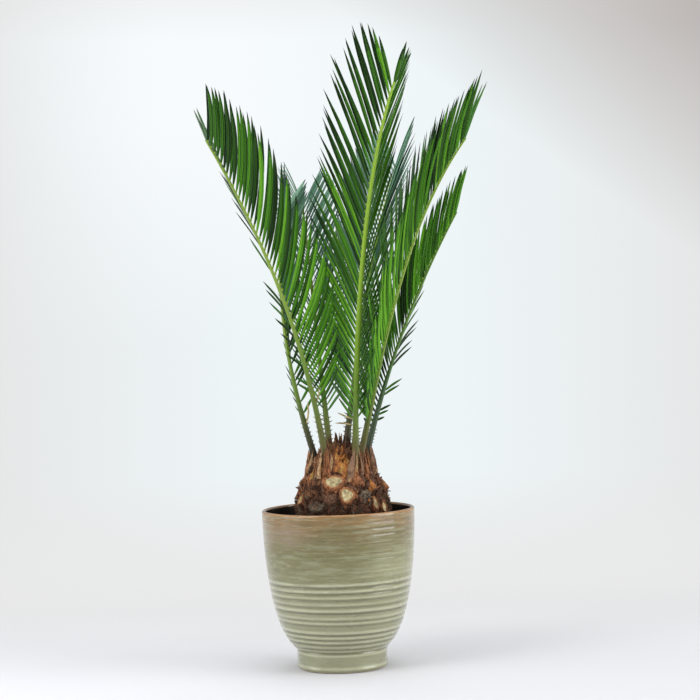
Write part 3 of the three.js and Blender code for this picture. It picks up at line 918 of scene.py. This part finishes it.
def make_scars(rng, felts):
    """Cut leaf bases: a short oval stub with a thick bark lip round a pale dished face."""
    rings = [
        (1.34, -7.0), (1.34, -2.6), (1.28, 0.0), (1.2, 1.1), (1.08, 1.4), (0.97, 0.9), (0.88, 0.2),
        (0.6, -0.15), (0.3, -0.3),
    ]
    slots = [0] * (4 * SCAR_SIDES) + [1] * (2 * SCAR_SIDES) + [2] * (2 * SCAR_SIDES) + [0, 2]
    dot_faces = [(0, 1 + corner, 1 + (corner + 1) % 5) for corner in range(5)] + [(5, 4, 3, 2, 1)]
    scars = Pile()
    for number, (direction, height, width, tall) in enumerate(SCARS):
        place, out, sideways, upward = stem_frame(direction, height, SCAR_LIFT)
        out = unit(out + 0.2 * upward)
        upward = unit(upward - upward @ out * out)
        wobble = 1 + 0.07 * np.sin(np.arange(SCAR_SIDES) * 2 * math.pi / SCAR_SIDES * 3 + number)
        wobble = (wobble + rng.uniform(-0.06, 0.06, SCAR_SIDES))[:, None]
        points = []
        for reach, rise in rings:
            half = reach * wobble / 2
            oval = ring(place, sideways, upward, half * width, half * tall, SCAR_SIDES)
            points.extend(oval + out * (rise + rng.uniform(-0.25, 0.25, (SCAR_SIDES, 1))))
        scars.add(points, tube_faces(len(rings), SCAR_SIDES), slots)
        # Bundle ends show as darker dots on the cut face.
        for _ in range(BUNDLE_ENDS):
            turn, reach = rng.uniform(0, 2 * math.pi), rng.uniform(0.1, 0.62)
            middle = place + sideways * (math.cos(turn) * reach * width / 2)
            middle = middle + upward * (math.sin(turn) * reach * tall / 2) - out * 0.3
            size = rng.uniform(0.3, 0.7)
            rim = ring(middle - out * 0.5, sideways, upward, size, size, 5)
            scars.add([middle + out * 0.4, *rim], dot_faces, 3)
    scars.piece("cut_leaf_bases", [
        felts[FELT_NUMBERS["russet"]],
        mottled("cut_rim_of_leaf_base", "#7d4a26", "#c08a5c", 1.6, 0.85, bump=0.4),
        mottled("cut_starchy_face", "#9c8452", "#ddd0a6", 2.6, 0.85, bump=0.4),
        mottled("cut_bundle_end", "#4c3320", "#7b5a35", 1.0, 0.85),
    ], 45, "felt", "stem")


def make_strands(rng, felts):
    """Fluted remains of old leaf stalks: fibrous strands that run up the shoulder of the
    stem and stand round the crown, and the broad sheaths."""
    faces = pointed_tube_faces(STRAND_STEPS, 4)
    shares = [step / STRAND_STEPS for step in range(STRAND_STEPS + 1)]
    strands = Pile()
    for number in range(STRAND_COUNT):
        direction = spiral(rng, number, 4)
        foot = rng.uniform(198, 217)
        length = rng.uniform(7, 19)
        top = min(foot + length, STEM_TOP)
        if on_scar(direction, foot, 1) or on_scar(direction, (foot + top) / 2, 1):
            continue
        drift = rng.uniform(-12, 12)
        lift = rng.uniform(0.2, 2.6)
        splay = rng.uniform(-2.5, 2.6)
        route = []
        ways = []
        for share in shares:
            level = lerp(foot, top, share)
            turn = direction + drift * share + 3.0 * math.sin(share * 5 + number)
            reach = crown_radius(level) - 1.0 + lift * min(share * 3, 1) + splay * share ** 3
            route.append(stem_place(reach, turn, level))
            ways.append(level_ways(turn)[1])
        width = rng.uniform(1.3, 5.6)
        widths = [width * (1 - 0.7 * share ** 2) for share in shares]
        points = frayed(rng, 0.4, route, ways, widths, 0.5)
        strands.add(points, faces, felt_at(rng, direction, foot + 4))
    for direction, foot, top, width, lift, felt in BROAD_SHEATHS:
        route = []
        for share in shares:
            level = lerp(foot, top, share)
            reach = crown_radius(level) - 1.5 + (lift + 1.5) * min(share * 2.5, 1)
            route.append(stem_place(reach, direction + 4 * math.sin(share * 3), level))
        ways = [level_ways(direction)[1]] * len(shares)
        widths = [width * part for part in (0.8, 1, 1, 0.95, 0.85, 0.66, 0.4, 0)]
        strands.add(frayed(rng, 0.35, route, ways, widths, 0.6), faces, FELT_NUMBERS[felt])
    # More strands clasp the foot of each stalk, and fray on it. The last slot is their own.
    clasps = [FELT_NUMBERS[name] for name in ("brown", "russet", "orange", "tan")] + [len(FELTS)]
    for frond in FRONDS:
        _, direction, height = frond["foot"]
        outward, sideways = level_ways(direction)
        stations = rib_stations(frond)
        for number in range(SHEATH_STRANDS):
            away = math.radians(360 * number / SHEATH_STRANDS + rng.uniform(-9, 9))
            side = math.sin(away)
            front = math.cos(away)
            foot = height - rng.uniform(7, 17)
            distance = rng.uniform(8, 19)
            start = stem_place(stem_radius(foot) + 0.2 + 2.4 * front, direction + side * 17, foot)
            point = station_at(stations, distance / frond["length"])[0]
            out = outward * front + sideways * side
            end = point + out * (rib_radius(distance, frond["length"]) + 0.3)
            route = [
                lerp(start, end, share) + out * (0.9 * math.sin(math.pi * min(share * 1.3, 1)))
                for share in shares
            ]
            ways = [sideways * front - outward * side] * len(shares)
            width = rng.uniform(3.2, 7.2)
            widths = [width * (1 - 0.75 * share) for share in shares]
            slot = int(rng.choice(clasps, p=[0.24, 0.24, 0.04, 0.22, 0.26]))
            strands.add(frayed(rng, 0.3, route, ways, widths, 0.4), faces, slot)
    mauve = mottled("mauve_tan_sheath", "#5f4636", "#a07c60", 1.8, 0.7, bump=0.3, streak=6)
    strands.piece("old_stalk_strands", felts + [mauve], 50, "felt", "stem")


def make_flakes(rng, felts):
    """Ragged scales of old leaf base that hug the stem, their tips a little lifted."""
    flakes = Pile()
    faces = pointed_tube_faces(3, 4)
    for number in range(FLAKE_COUNT):
        share = (number + 0.5) / FLAKE_COUNT
        height = lerp(SOIL_HEIGHT - 1, CROWN_HEIGHT - 1, share ** 0.94)
        direction = spiral(rng, number, 9)
        if on_scar(direction, height, 1.2) or on_sheath(direction, height):
            continue
        place, out, sideways, upward = stem_frame(direction, height, rng.uniform(-0.4, 2.8))
        tilt = math.radians(rng.normal(0, 38))
        way = unit(upward * math.cos(tilt) + sideways * math.sin(tilt) + out * rng.uniform(0, 1.1))
        side = unit(np.cross(way, out))
        length = rng.uniform(2.0, 5.8)
        if on_scar(direction, height + length, 0.6):
            length *= 0.5
        width = rng.uniform(1.3, 3.4)
        route = [place - way * 1.2, place + way * length * 0.35, place + way * length * 0.75]
        route.append(place + way * length + out * rng.uniform(-0.3, 1.2))
        points = frayed(rng, 0.3, route, [side] * 4, [width, width * 0.9, width * 0.5, 0], 0.3)
        flakes.add(points, faces, felt_at(rng, direction, height))
    flakes.piece("bark_flakes", felts, 35, "felt", "stem")


def make_fibres(rng, felts):
    """Short stiff hairs of leaf-base fibre, each a thin three-sided spike."""
    fibres = Pile()
    faces = pointed_tube_faces(2, 3)
    for _ in range(FIBRE_COUNT):
        height = lerp(SOIL_HEIGHT - 2, STEM_TOP - 8, rng.uniform() ** 0.9)
        direction = rng.uniform(-180, 180)
        if on_scar(direction, height, 0.5) or on_sheath(direction, height):
            continue
        place, out, sideways, upward = stem_frame(direction, height, rng.uniform(-0.8, 2.0))
        way = unit(upward + out * rng.uniform(0.1, 1.3) + sideways * rng.normal(0, 0.7))
        length = rng.uniform(1.5, 5.0)
        side = unit(np.cross(way, rng.normal(size=3)))
        other = np.cross(way, side)
        thick = rng.uniform(0.16, 0.36)
        points = []
        for along, slim in ((0, thick), (0.55, 0.75 * thick)):
            centre = place + way * (length * along) - out * (0.12 * length * along * along)
            points.extend(ring(centre, side, other, slim, slim, 3))
        points.append(place + way * length - out * (0.12 * length))
        fibres.add(points, faces, felt_at(rng, direction, height))
    fibres.piece("leaf_base_fibres", felts, 0, "felt", "stem")


def make_bracts(rng):
    """Pointed bracts crowd round the growing tip, the middle ones upright."""
    bracts = Pile()
    faces = pointed_tube_faces(BRACT_STEPS, 4)
    shares = [step / BRACT_STEPS for step in range(BRACT_STEPS + 1)]
    for number in range(BRACT_COUNT):
        outer = (number + 0.5) / BRACT_COUNT
        direction = number * GOLDEN_ANGLE
        lean = math.radians(3 + 34 * outer + rng.uniform(-20, 20))
        length = rng.uniform(6, 16.5) * (1 - 0.3 * outer)
        height = lerp(STEM_TOP - 4.5, STEM_TOP - 9, outer)
        outward, sideways = level_ways(direction)
        route = [stem_place(BRACT_CIRCLE * math.sqrt(outer), direction, height)]
        for share in shares[1:]:
            bend = lean * (0.5 + 0.7 * share)
            way = outward * math.sin(bend) + UP * math.cos(bend)
            route.append(route[-1] + way * (length / BRACT_STEPS))
        width = rng.uniform(1.6, 3.4)
        widths = [width * (1 - 0.8 * share ** 1.5) for share in shares]
        points = strand(route, [sideways] * len(shares), widths, 0.45)
        bracts.add(points, faces, int(rng.choice(3, p=[0.52, 0.34, 0.14])))
    bracts.piece("crown_bracts", [
        mottled("dark_bract", "#1d110a", "#4a2b17", 1.6, 0.75, streak=4),
        mottled("brown_bract", "#3c2211", "#7b4c29", 1.6, 0.75, streak=4),
        mottled("tan_bract", "#6e4a2a", "#a67c4e", 1.6, 0.75, streak=4),
    ], 50, "felt", "stem")


def make_stem(rng):
    felts = [mottled(*looks) for looks in FELTS.values()]
    make_stem_body(felts)
    make_knobs(rng, felts)
    make_scars(rng, felts)
    make_strands(rng, felts)
    make_flakes(rng, felts)
    make_fibres(rng, felts)
    make_bracts(rng)


# The fronds --------------------------------------------------------------------------

def rib_frames(frond, shares):
    """How the rib lies at shares of its length: the ways along it, out of the frond's
    upper face, and to its left side."""
    shares = np.asarray(shares, dtype=float)[:, None]
    heading = np.radians(lerp(*frond["heading"], shares))
    lean = np.radians(lerp(*frond["lean"], shares ** frond["bend"]))
    roll = np.radians(lerp(*frond["roll"], shares))
    outward = np.hstack([np.cos(heading), np.sin(heading), 0 * heading])
    along = outward * np.sin(lean) + UP * np.cos(lean)
    upper = -outward * np.cos(lean) + UP * np.sin(lean)
    upper = upper * np.cos(roll) + np.cross(along, upper) * np.sin(roll)
    return along, upper, np.cross(upper, along)


def rib_stations(frond):
    """Points along the rib, with the frames at them."""
    stride = frond["length"] / RIB_STEPS
    steps = rib_frames(frond, (np.arange(RIB_STEPS) + 0.5) / RIB_STEPS)[0]
    start = around_stem(*frond["foot"])
    points = np.vstack([start, start + np.cumsum(steps, axis=0) * stride])
    return (points, *rib_frames(frond, np.arange(RIB_STEPS + 1) / RIB_STEPS))


def station_at(stations, share):
    """Point, along, upper and left at a share of the rib's length."""
    place = min(share * RIB_STEPS, RIB_STEPS - 1e-6)
    before = int(place)
    return [lerp(row[before], row[before + 1], place - before) for row in stations]


def rib_radius(distance, length):
    if distance < STALK_LENGTH:
        return lerp(RIB_FOOT_RADIUS, RIB_STALK_RADIUS, distance / STALK_LENGTH)
    return lerp(RIB_STALK_RADIUS, RIB_TIP_RADIUS, (distance - STALK_LENGTH) / (length - STALK_LENGTH))


def leaflet_length(share, row):
    """Length of a leaflet by its place in the row, from 0 where the stalk ends to 1 at the
    rib's end. The few that stand below the stalk's end are shorter still."""
    if share < 0:
        return LEAFLET_LENGTH * LOWEST_LEAFLET * max(1 + share * 7, 0.4)
    risen = min(share / RISE_END, 1) ** RISE_POWER
    fallen = max((share - FALL_START) / (1 - FALL_START), 0) ** row["fall"]
    return LEAFLET_LENGTH * lerp(LOWEST_LEAFLET, 1, risen) * lerp(1, row["last"], fallen)


def leaflet_spread(share):
    """Angle between a leaflet and the rib by its place in the row, in degrees."""
    if share < SPREAD_TURN:
        return lerp(SPREAD_AT_STALK, SPREAD_AT_MIDDLE, share / SPREAD_TURN)
    return lerp(SPREAD_AT_MIDDLE, SPREAD_AT_TIP, (share - SPREAD_TURN) / (1 - SPREAD_TURN))


# The blade along its length: share of the length and share of the full half width.
BLADE = [
    (0.0, 0.4), (0.035, 0.42), (0.09, 0.58), (0.17, 0.82), (0.28, 0.97), (0.42, 1.0), (0.57, 1.0),
    (0.69, 0.92), (0.79, 0.75), (0.87, 0.54), (0.93, 0.32), (0.972, 0.14),
]
# The blade across: share of the half width, and height in mm over the blade's plane.
# The edges roll under, the upper face is domed, and a midrib stands out underneath.
SECTION = [
    (-1.0, -0.75), (-0.62, 0.02), (0.0, 0.3), (0.62, 0.02), (1.0, -0.75),
    (0.8, -0.9), (0.4, -0.38), (0.0, -0.8), (-0.4, -0.38), (-0.8, -0.9),
]
LEAFLET_FACES = pointed_tube_faces(len(BLADE), len(SECTION))
BLADE_POWER = 2.2
# Leaf materials by slot: the undersides and the upper sides in grades from well lit to
# blackish, lit and shaded copies of each green for painted light and shade, then the
# hard tip and the yellow-green foot that runs into the rib.
GRADES = ["well_lit", "mid", "deep", "dusky", "blackish"]
DEEP = 2
BLACKISH = 4
UPPER = 5
TIP = 10
FOOT = 11
FAMILY_SLOTS = 12
LAST_UPPER_FACE = 4
FIRST_SHADED_FACE = 7
# Undersides and upper sides of each family of greens. The teal family, on the upper parts
# of the back fronds, is paler and bluer: partly the leaflets' own tone, partly painted
# sheen of the bright surroundings.
FAMILIES = {
    "green": [("#6aa524", "#4c8719", "#3a6e14", "#29520f", "#17330a"),
              ("#4f8a26", "#3a721e", "#2b5a1b", "#1f4416", "#122b0e")],
    "teal": [("#7ba688", "#5e8a6c", "#446c53", "#2f4f3c", "#1f3628"),
             ("#6a9678", "#4f7a60", "#3a6049", "#284635", "#1b3024")],
}
# Colours of the sheath, the stalk and the rib, each from its foot to its end. The brown
# and teal skins of back fronds are darker: partly their own colour, partly painted shade,
# as these stalks stand behind and under the other fronds.
PALE_RIB = ("#668330", "#7f9a3c")
SKINS = {
    "olive": [("#7a5640", "#7e6445"), ("#605a30", "#5f6d2c"), PALE_RIB],
    "green": [("#8a5a34", "#8a6a42"), ("#626330", "#5c7a28"), ("#719527", "#8cb035")],
    "brown": [("#3a2415", "#3c2b1c"), ("#332b1c", "#454a27"), PALE_RIB],
    "teal": [("#4a3420", "#45412e"), ("#354234", "#34492f"), ("#3d5a30", "#5c8036")],
}
# How often each grade turns up in a tint. Rows take lighter or darker tints by how the
# light falls on them, as painted light and shade; within a tint the grade is random.
TINTS = {
    "bright": (0.92, 0.08, 0.0, 0.0, 0.0),
    "well_lit": (0.57, 0.28, 0.12, 0.03, 0.0),
    "mid": (0.28, 0.34, 0.26, 0.1, 0.02),
    "deep": (0.1, 0.26, 0.36, 0.24, 0.04),
    "dark": (0.02, 0.16, 0.42, 0.32, 0.08),
    "shade": (0.0, 0.1, 0.3, 0.35, 0.25),
}
# Leaflets that stand at a stray angle, as a share of all.
STRAY_CHANCE = 0.07
# A leaflet whose middle comes closer than this to another frond's rib is left out.
RIB_CLEARANCE = 3.0
CLEARANCE_PARTS = (0.15, 0.3, 0.45, 0.6, 0.75, 0.9)
# Shares of a row at which its looks have turned to the upper ones, and its tints do.
LOOKS_TURNED = 0.5
TINTS_TURN = 0.45
# How fast leaflets stand out more towards the foot of the stalk, in degrees.
STALK_SPREAD = 110
TUFT_SHARE = 0.995
TUFT_KEEL = 15
TUFT_WIDTH = 4.2
TUFT_ARCH = 0.03
TUFT_BOW = 0.02
TUFT_TWIST = 0.3


def blade_middle(root, run, inward, length, arch, share):
    """A point on a leaflet's middle line, which arches back out of the V."""
    return root + run * (length * share) - inward * (arch * length * share ** BLADE_POWER)


def leaflet_shape(root, run, across, flat, inward, length, width, arch, bow, twist):
    """Points of one leaflet, from the rib to its hard point."""
    points = []
    for share, breadth in BLADE:
        centre = blade_middle(root, run, inward, length, arch, share)
        centre = centre + across * (length * bow * (share ** 2 - share))
        angle = twist * (1.2 - 0.4 * share)
        wide = across * math.cos(angle) + flat * math.sin(angle)
        thick = flat * math.cos(angle) - across * math.sin(angle)
        scale = min(breadth * 1.3, 1)
        for offset, rise in SECTION:
            points.append(centre + wide * (offset * breadth * width / 2) + thick * (rise * scale))
    points.append(blade_middle(root, run, inward, length, arch, 1))
    return points


def leaflet_slots(tint, dusk):
    """Material slot of each face of a leaflet. Past the share "dusk" it is a grade darker,
    0.2 further on another: partly its own darker end, partly painted shade. Half of the
    underside is a grade darker too, painted shade that gives each leaflet a shaded half."""
    slots = []
    for share, _ in BLADE:
        grade = tint + int(share >= dusk) + int(share >= dusk + 0.2)
        for side in range(len(SECTION)):
            if share >= 0.9:
                slots.append(TIP)
            elif share < 0.03:
                slots.append(FOOT)
            elif side <= LAST_UPPER_FACE:
                slots.append(UPPER + min(grade, BLACKISH))
            else:
                slots.append(min(grade + int(side >= FIRST_SHADED_FACE), BLACKISH))
    closing = len(SECTION) * (len(BLADE) - 1)
    return slots[:closing] + [FOOT] + slots[closing:]


def leaflet_ways(station, side, keel, spread):
    """Ways of a leaflet: along it, across it, out of its upper face, into the V and out of
    the rib."""
    _, along, upper, left = station
    keel, spread = math.radians(keel), math.radians(spread)
    outward = left * (side * math.cos(keel)) + upper * math.sin(keel)
    inward = -left * (side * math.sin(keel)) + upper * math.cos(keel)
    run = unit(along * math.cos(spread) + outward * math.sin(spread))
    across = unit(along * math.sin(spread) - outward * math.cos(spread))
    flat = np.cross(run, across)
    if flat @ inward < 0:
        flat = -flat
    return run, across, flat, inward, outward


def make_leaflets(frond, stations, other_ribs, rng, materials):
    leaflets = Pile()
    whole = frond["length"]
    stalk = STALK_LENGTH / whole
    pairs = frond["pairs"]
    first = -int((STALK_LENGTH - frond["bare"]) / (whole - STALK_LENGTH) * pairs)
    for pair in range(first, pairs):
        for row, side in zip(frond["rows"], (-1, 1)):
            share = (pair + 0.25 + 0.25 * side + rng.uniform(-0.1, 0.1)) / pairs
            up = max(share, 0)
            high = min(up / LOOKS_TURNED, 1)
            if rng.uniform() < row["sparse"] * min(2 - 2 * share, 1):
                continue
            station = station_at(stations, stalk + (1 - stalk) * share)
            stray = rng.uniform(-1, 1) if rng.uniform() < STRAY_CHANCE else 0
            keel = lerp(*row["fold"], up) + rng.normal(0, 2) + 5 * stray
            spread = leaflet_spread(up) * lerp(1, row["close"], high)
            spread += rng.normal(0, 0.9) + 6 * stray - min(share, 0) * STALK_SPREAD
            run, across, flat, inward, outward = leaflet_ways(station, side, keel, spread)
            length = leaflet_length(share, row) * lerp(row["short"], 1, up ** 2)
            length *= frond["size"] * rng.uniform(0.96, 1.02)
            arch = lerp(*row["arch"], high) + rng.normal(0, 0.01)
            bow = row["bow"] + rng.normal(0, 0.012)
            twist = math.radians(row["twist"] + rng.normal(0, 4) + 22 * stray)
            width = LEAFLET_WIDTH * lerp(*row["slim"], high) * rng.uniform(0.94, 1.05)
            distance = lerp(STALK_LENGTH, whole, share)
            root = station[0] + outward * (0.55 * rib_radius(distance, whole))
            middle = np.array([
                blade_middle(root, run, inward, length, arch, part) for part in CLEARANCE_PARTS
            ])
            gaps = np.linalg.norm(middle[:, None] - other_ribs[None], axis=2)
            if gaps.min() < RIB_CLEARANCE:
                continue
            upper_part = int(share + rng.normal(0, 0.08) > TINTS_TURN)
            tint = int(rng.choice(len(GRADES), p=TINTS[row["tints"][upper_part]]))
            family = list(FAMILIES).index(frond["leaves"][upper_part]) * FAMILY_SLOTS
            slots = [family + slot for slot in leaflet_slots(tint, frond["dusk"])]
            shape = leaflet_shape(root, run, across, flat, inward, length, width, arch, bow, twist)
            leaflets.add(shape, LEAFLET_FACES, slots)
    for side, spread, length in frond["tuft"]:
        station = station_at(stations, TUFT_SHARE)
        ways = leaflet_ways(station, side, TUFT_KEEL, spread)[:4]
        bends = (TUFT_ARCH, TUFT_BOW * side, TUFT_TWIST * side)
        shape = leaflet_shape(station[0], *ways, length, TUFT_WIDTH, *bends)
        leaflets.add(shape, LEAFLET_FACES, leaflet_slots(DEEP, frond["dusk"]))
    leaflets.piece(frond["name"] + "_leaflets", materials, 24, "leaf", frond["name"])


SHEATH_DEPTH = 22
SHEATH_STEPS = 6
SHEATH_FLARE = 3.2
SHEATH_FOOT = (5, 3.5)
RIB_FLATTENED = 0.92
SPINE_COUNT = 7
SPINE_LENGTHS = (1.4, 4.5)


def make_rib(frond, stations, rng, skin):
    """Stalk and rib in one tapering piece, with a flared foot that clasps the crown and
    small spines on the stalk."""
    points, alongs, _, _ = stations
    radius, direction, height = frond["foot"]
    length = frond["length"]
    outward, sideways = level_ways(direction)
    rings = []
    rise = []
    for step in range(SHEATH_STEPS):
        share = step / SHEATH_STEPS
        level = height - SHEATH_DEPTH * (1 - share)
        buried = stem_place(stem_radius(level) - 4.5, direction, level)
        middle = lerp(buried, around_stem(radius, direction, level), share ** 1.3)
        half = lerp(SHEATH_FOOT[0], RIB_FOOT_RADIUS, share) + SHEATH_FLARE * math.sin(math.pi * share)
        thick = lerp(SHEATH_FOOT[1], RIB_FOOT_RADIUS, share)
        rings.append(ring(middle, sideways, outward, half, thick, RIB_SIDES))
        rise.append(0.1 * share)
    wide = sideways
    for step in range(RIB_STEPS + 1):
        distance = length * step / RIB_STEPS
        stout = lerp(0.95, frond["rib"], min(max(distance - STALK_LENGTH, 0) / 60, 1))
        size = rib_radius(distance, length) * stout
        wide = unit(wide - wide @ alongs[step] * alongs[step])
        deep = np.cross(wide, alongs[step])
        rings.append(ring(points[step], wide, deep, size, RIB_FLATTENED * size, RIB_SIDES))
        rise.append(0.1 + 0.9 * step / RIB_STEPS)
    rib = Pile()
    rib.add(np.concatenate(rings), tube_faces(len(rings), RIB_SIDES), 0)
    values = list(np.repeat(rise, RIB_SIDES))
    for number in range(SPINE_COUNT):
        for side in (-1, 1):
            place = lerp(0.3, 0.97, (number + 0.5 * (side > 0)) / SPINE_COUNT)
            share = frond["bare"] * place / length
            point, along, upper, left = station_at(stations, share)
            way = unit(left * side + upper * 0.25 + along * 0.35)
            foot = point + way * (rib_radius(share * length, length) * 0.8)
            spine = lerp(*SPINE_LENGTHS, number / SPINE_COUNT) * rng.uniform(0.8, 1.2)
            corners = [foot + along * 0.9, foot - along * 0.9, foot + upper * 0.6]
            corners.append(foot + way * (spine + 0.6))
            rib.add(corners, [(0, 1, 2), (0, 3, 1), (1, 3, 2), (2, 3, 0)], 0)
            values += [0.1 + 0.9 * share] * 4
    piece = rib.piece(frond["name"] + "_rib", [skin], 50, "leaf", frond["name"])
    write_attribute(piece, "rise", values)


# Withered lowest leaflets: frond, distance up the stalk, then the way that each one
# points, its length and how much it curls.
WITHERED = [
    ("frond_front", 45, (-0.94, -0.1, 0.32), 19, 0.1),
    ("frond_front", 39, (-0.96, -0.1, 0.24), 20, -0.1),
    ("frond_front_left", 64, (0.55, -0.15, 0.75), 17, 0.5),
    ("frond_left_rear", 40, (0.35, -0.2, 0.9), 24, 0.35),
]


def make_withered(all_stations):
    withered = Pile()
    for name, distance, way, length, curl in WITHERED:
        frond = next(each for each in FRONDS if each["name"] == name)
        point, along, _, _ = station_at(all_stations[name], distance / frond["length"])
        run = unit(np.array(way))
        across = unit(along - along @ run * run)
        ways = (run, across, np.cross(run, across), across)
        shape = leaflet_shape(point + run * 2.0, *ways, length, 2.0, -curl, 0.0, 0.9)
        withered.add(shape, LEAFLET_FACES, 0)
    dry = mottled("withered_leaflet", "#8c7a4c", "#c9bb88", 3, 0.8)
    withered.piece(
        "withered_leaflets", [dry], 25, "leaf", "frond_front", "frond_front_left", "frond_left_rear"
    )


def make_fronds(rng):
    last_two = [
        # The hard tip is near-black: partly its own colour, partly painted shade.
        leaf_blade("hard_leaf_tip", "#1c2b17", 0.5, 0.25),
        leaf_blade("leaflet_foot", "#84a23a", 0.5, 0.2),
    ]
    blades = []
    for family, sides in FAMILIES.items():
        looks = (("underside", 0.5, 0.15), ("upper_side", 0.36, 0.5))
        for colours, (side, roughness, shine) in zip(sides, looks):
            for grade, colour in zip(GRADES, colours):
                blades.append(leaf_blade(f"{family}_{side}_{grade}", colour, roughness, shine))
        blades += last_two
    skins = {name: rib_skin("stalk_" + name, *colours) for name, colours in SKINS.items()}
    all_stations = {frond["name"]: rib_stations(frond) for frond in FRONDS}
    for frond in FRONDS:
        stations = all_stations[frond["name"]]
        others = np.concatenate([
            all_stations[other["name"]][0] for other in FRONDS if other is not frond
        ])
        make_rib(frond, stations, rng, skins[frond["stalk"]])
        make_leaflets(frond, stations, others, rng, blades)
    make_withered(all_stations)


# Studio ------------------------------------------------------------------------------

CAMERA_PLACE = (17.5, -1876, 343.4)
CAMERA_PITCH = -0.39
CAMERA_ROLL = -1.735
SENSOR = 36
LENS = 92.06
# Softboxes, in metres: name, place, point they face, width and height, and radiance.
SOFTBOXES = [
    ("key_softbox", (-1.5, -1.2, 1.35), (0, 0, 0.3), (0.9, 0.9), 6.5),
    ("right_softbox", (1.48, -0.5, 0.6), (0, 0, 0.25), (1.15, 1.2), 4.0),
    ("left_softbox", (-1.5, -0.4, 0.55), (0, 0, 0.25), (0.9, 1.1), 2.3),
    ("top_softbox", (0.1, 0.2, 2.1), (0, 0, 0.3), (1.5, 1.5), 2.8),
    ("strip_softbox", (0.72, -1.75, 0.75), (0, 0, 0.2), (0.16, 0.6), 6),
]


def make_camera():
    data = bpy.data.cameras.new("camera")
    data.sensor_width = SENSOR
    data.lens = LENS
    data.clip_end = 50
    camera = bpy.data.objects.new("camera", data)
    level = Matrix.Rotation(math.radians(90 + CAMERA_PITCH), 4, "X")
    roll = Matrix.Rotation(math.radians(CAMERA_ROLL), 4, "Z")
    camera.matrix_world = Matrix.Translation(Vector(CAMERA_PLACE) * MM) @ level @ roll
    bpy.context.scene.collection.objects.link(camera)
    bpy.context.scene.camera = camera


def make_softbox(name, place, aim, size, radiance):
    """A rectangular soft light that faces a point."""
    data = bpy.data.lights.new(name, "AREA")
    data.shape = "RECTANGLE"
    data.size, data.size_y = size
    data.energy = radiance * math.pi * size[0] * size[1]
    light = bpy.data.objects.new(name, data)
    way = (Vector(aim) - Vector(place)).to_track_quat("-Z", "Y").to_matrix().to_4x4()
    light.matrix_world = Matrix.Translation(place) @ way
    bpy.context.scene.collection.objects.link(light)


def backdrop_colour(paint, way):
    """Colour of the backdrop in a direction: brightest to the upper left of the front
    view, with dimmer edges and a dim upper right corner."""
    across, deep, rise = paint.axes(way)
    edge = paint.spread(paint.maths("ABSOLUTE", across), 0.06, 0.21)
    shown = paint.mix(edge, "#eef5f7", "#e5e6e6")
    glow = paint.product(
        paint.spread(rise, 0.0, 0.12), paint.spread(across, 0.07, -0.06),
        paint.spread(across, -0.2, -0.1),
    )
    shown = paint.mix(glow, shown, "#f7fbfd")
    corner = paint.spread(paint.maths("MULTIPLY_ADD", rise, 1.377, across), 0.246, 0.443)
    shown = paint.mix(corner, shown, "#b9b2af")
    shown = paint.mix(paint.spread(rise, 0.165, 0.2, 0, 0.35), shown, "#d8d3cf")
    return paint.mix(paint.spread(deep, 0.93, 0.96), "#eaeded", shown)


def make_floor():
    """A pale matt floor with painted shade, that runs out into the backdrop's brightness."""
    bpy.ops.object.select_all(action="DESELECT")
    bpy.ops.mesh.primitive_circle_add(vertices=96, radius=9, fill_type="NGON", location=(0, 0, -0.0004))
    floor = bpy.context.object
    floor.name = "studio_floor"
    bpy.ops.object.transform_apply(location=True, rotation=True, scale=True)
    finish = Finish("pale_matt_floor", 0.7, {"Specular IOR Level": 0.2})
    place = finish.place()
    across, depth, _ = finish.axes(place)
    # Painted shade: the floor is darker towards the right and behind the pot, where less light falls.
    floor_with_painted_shade = finish.mix(finish.spread(across, 0, 0.36), "#e8e7eb", "#d9d8db")
    floor_with_painted_shade = finish.mix(finish.spread(depth, -0.04, 0.2, 0, 0.8), floor_with_painted_shade, "#dbdbdc")
    floor.data.materials.append(finish.coloured(floor_with_painted_shade))
    reach = finish.node("VectorMath", {0: place}, operation="LENGTH").outputs["Value"]
    faded = finish.maths(
        "MAXIMUM", finish.spread(depth, 0.14, 0.55), finish.spread(reach, 0.55, 1.3)
    )
    eye = tuple(value * MM for value in CAMERA_PLACE)
    way = finish.node("VectorMath", {0: place, 1: eye}, operation="SUBTRACT")
    way = finish.node("VectorMath", {0: way}, operation="NORMALIZE").outputs[0]
    far = finish.spread(reach, 0.5, 2.6)
    backdrop = finish.mix(far, "#e9e9e9", backdrop_colour(finish, way))
    glow = finish.node("Emission", {"Color": backdrop, "Strength": 1})
    blend = finish.node("MixShader", {0: faded, 1: finish.shader, 2: glow})
    finish.feed(finish.output, {"Surface": blend})


def make_world():
    """A pale backdrop for the eye, and soft light from all round."""
    world = bpy.data.worlds.new("studio")
    world.use_nodes = True
    paint = Paint(world.node_tree)
    backdrop = backdrop_colour(paint, paint.node("TexCoord").outputs["Generated"])
    shown = paint.node("Background", {"Color": backdrop, "Strength": 1})
    light = paint.node("Background", {"Color": "#eef2f6", "Strength": 0.5})
    seen = paint.node("LightPath").outputs["Is Camera Ray"]
    paint.node("OutputWorld", {"Surface": paint.node("MixShader", {0: seen, 1: light, 2: shown})})
    bpy.context.scene.world = world


def make_studio():
    make_floor()
    make_world()
    for softbox in SOFTBOXES:
        make_softbox(*softbox)
    bpy.context.scene.view_settings.view_transform = "Standard"


make_camera()
make_studio()
make_pot()
make_soil(np.random.default_rng(11))
make_stem(np.random.default_rng(23))
make_fronds(np.random.default_rng(37))
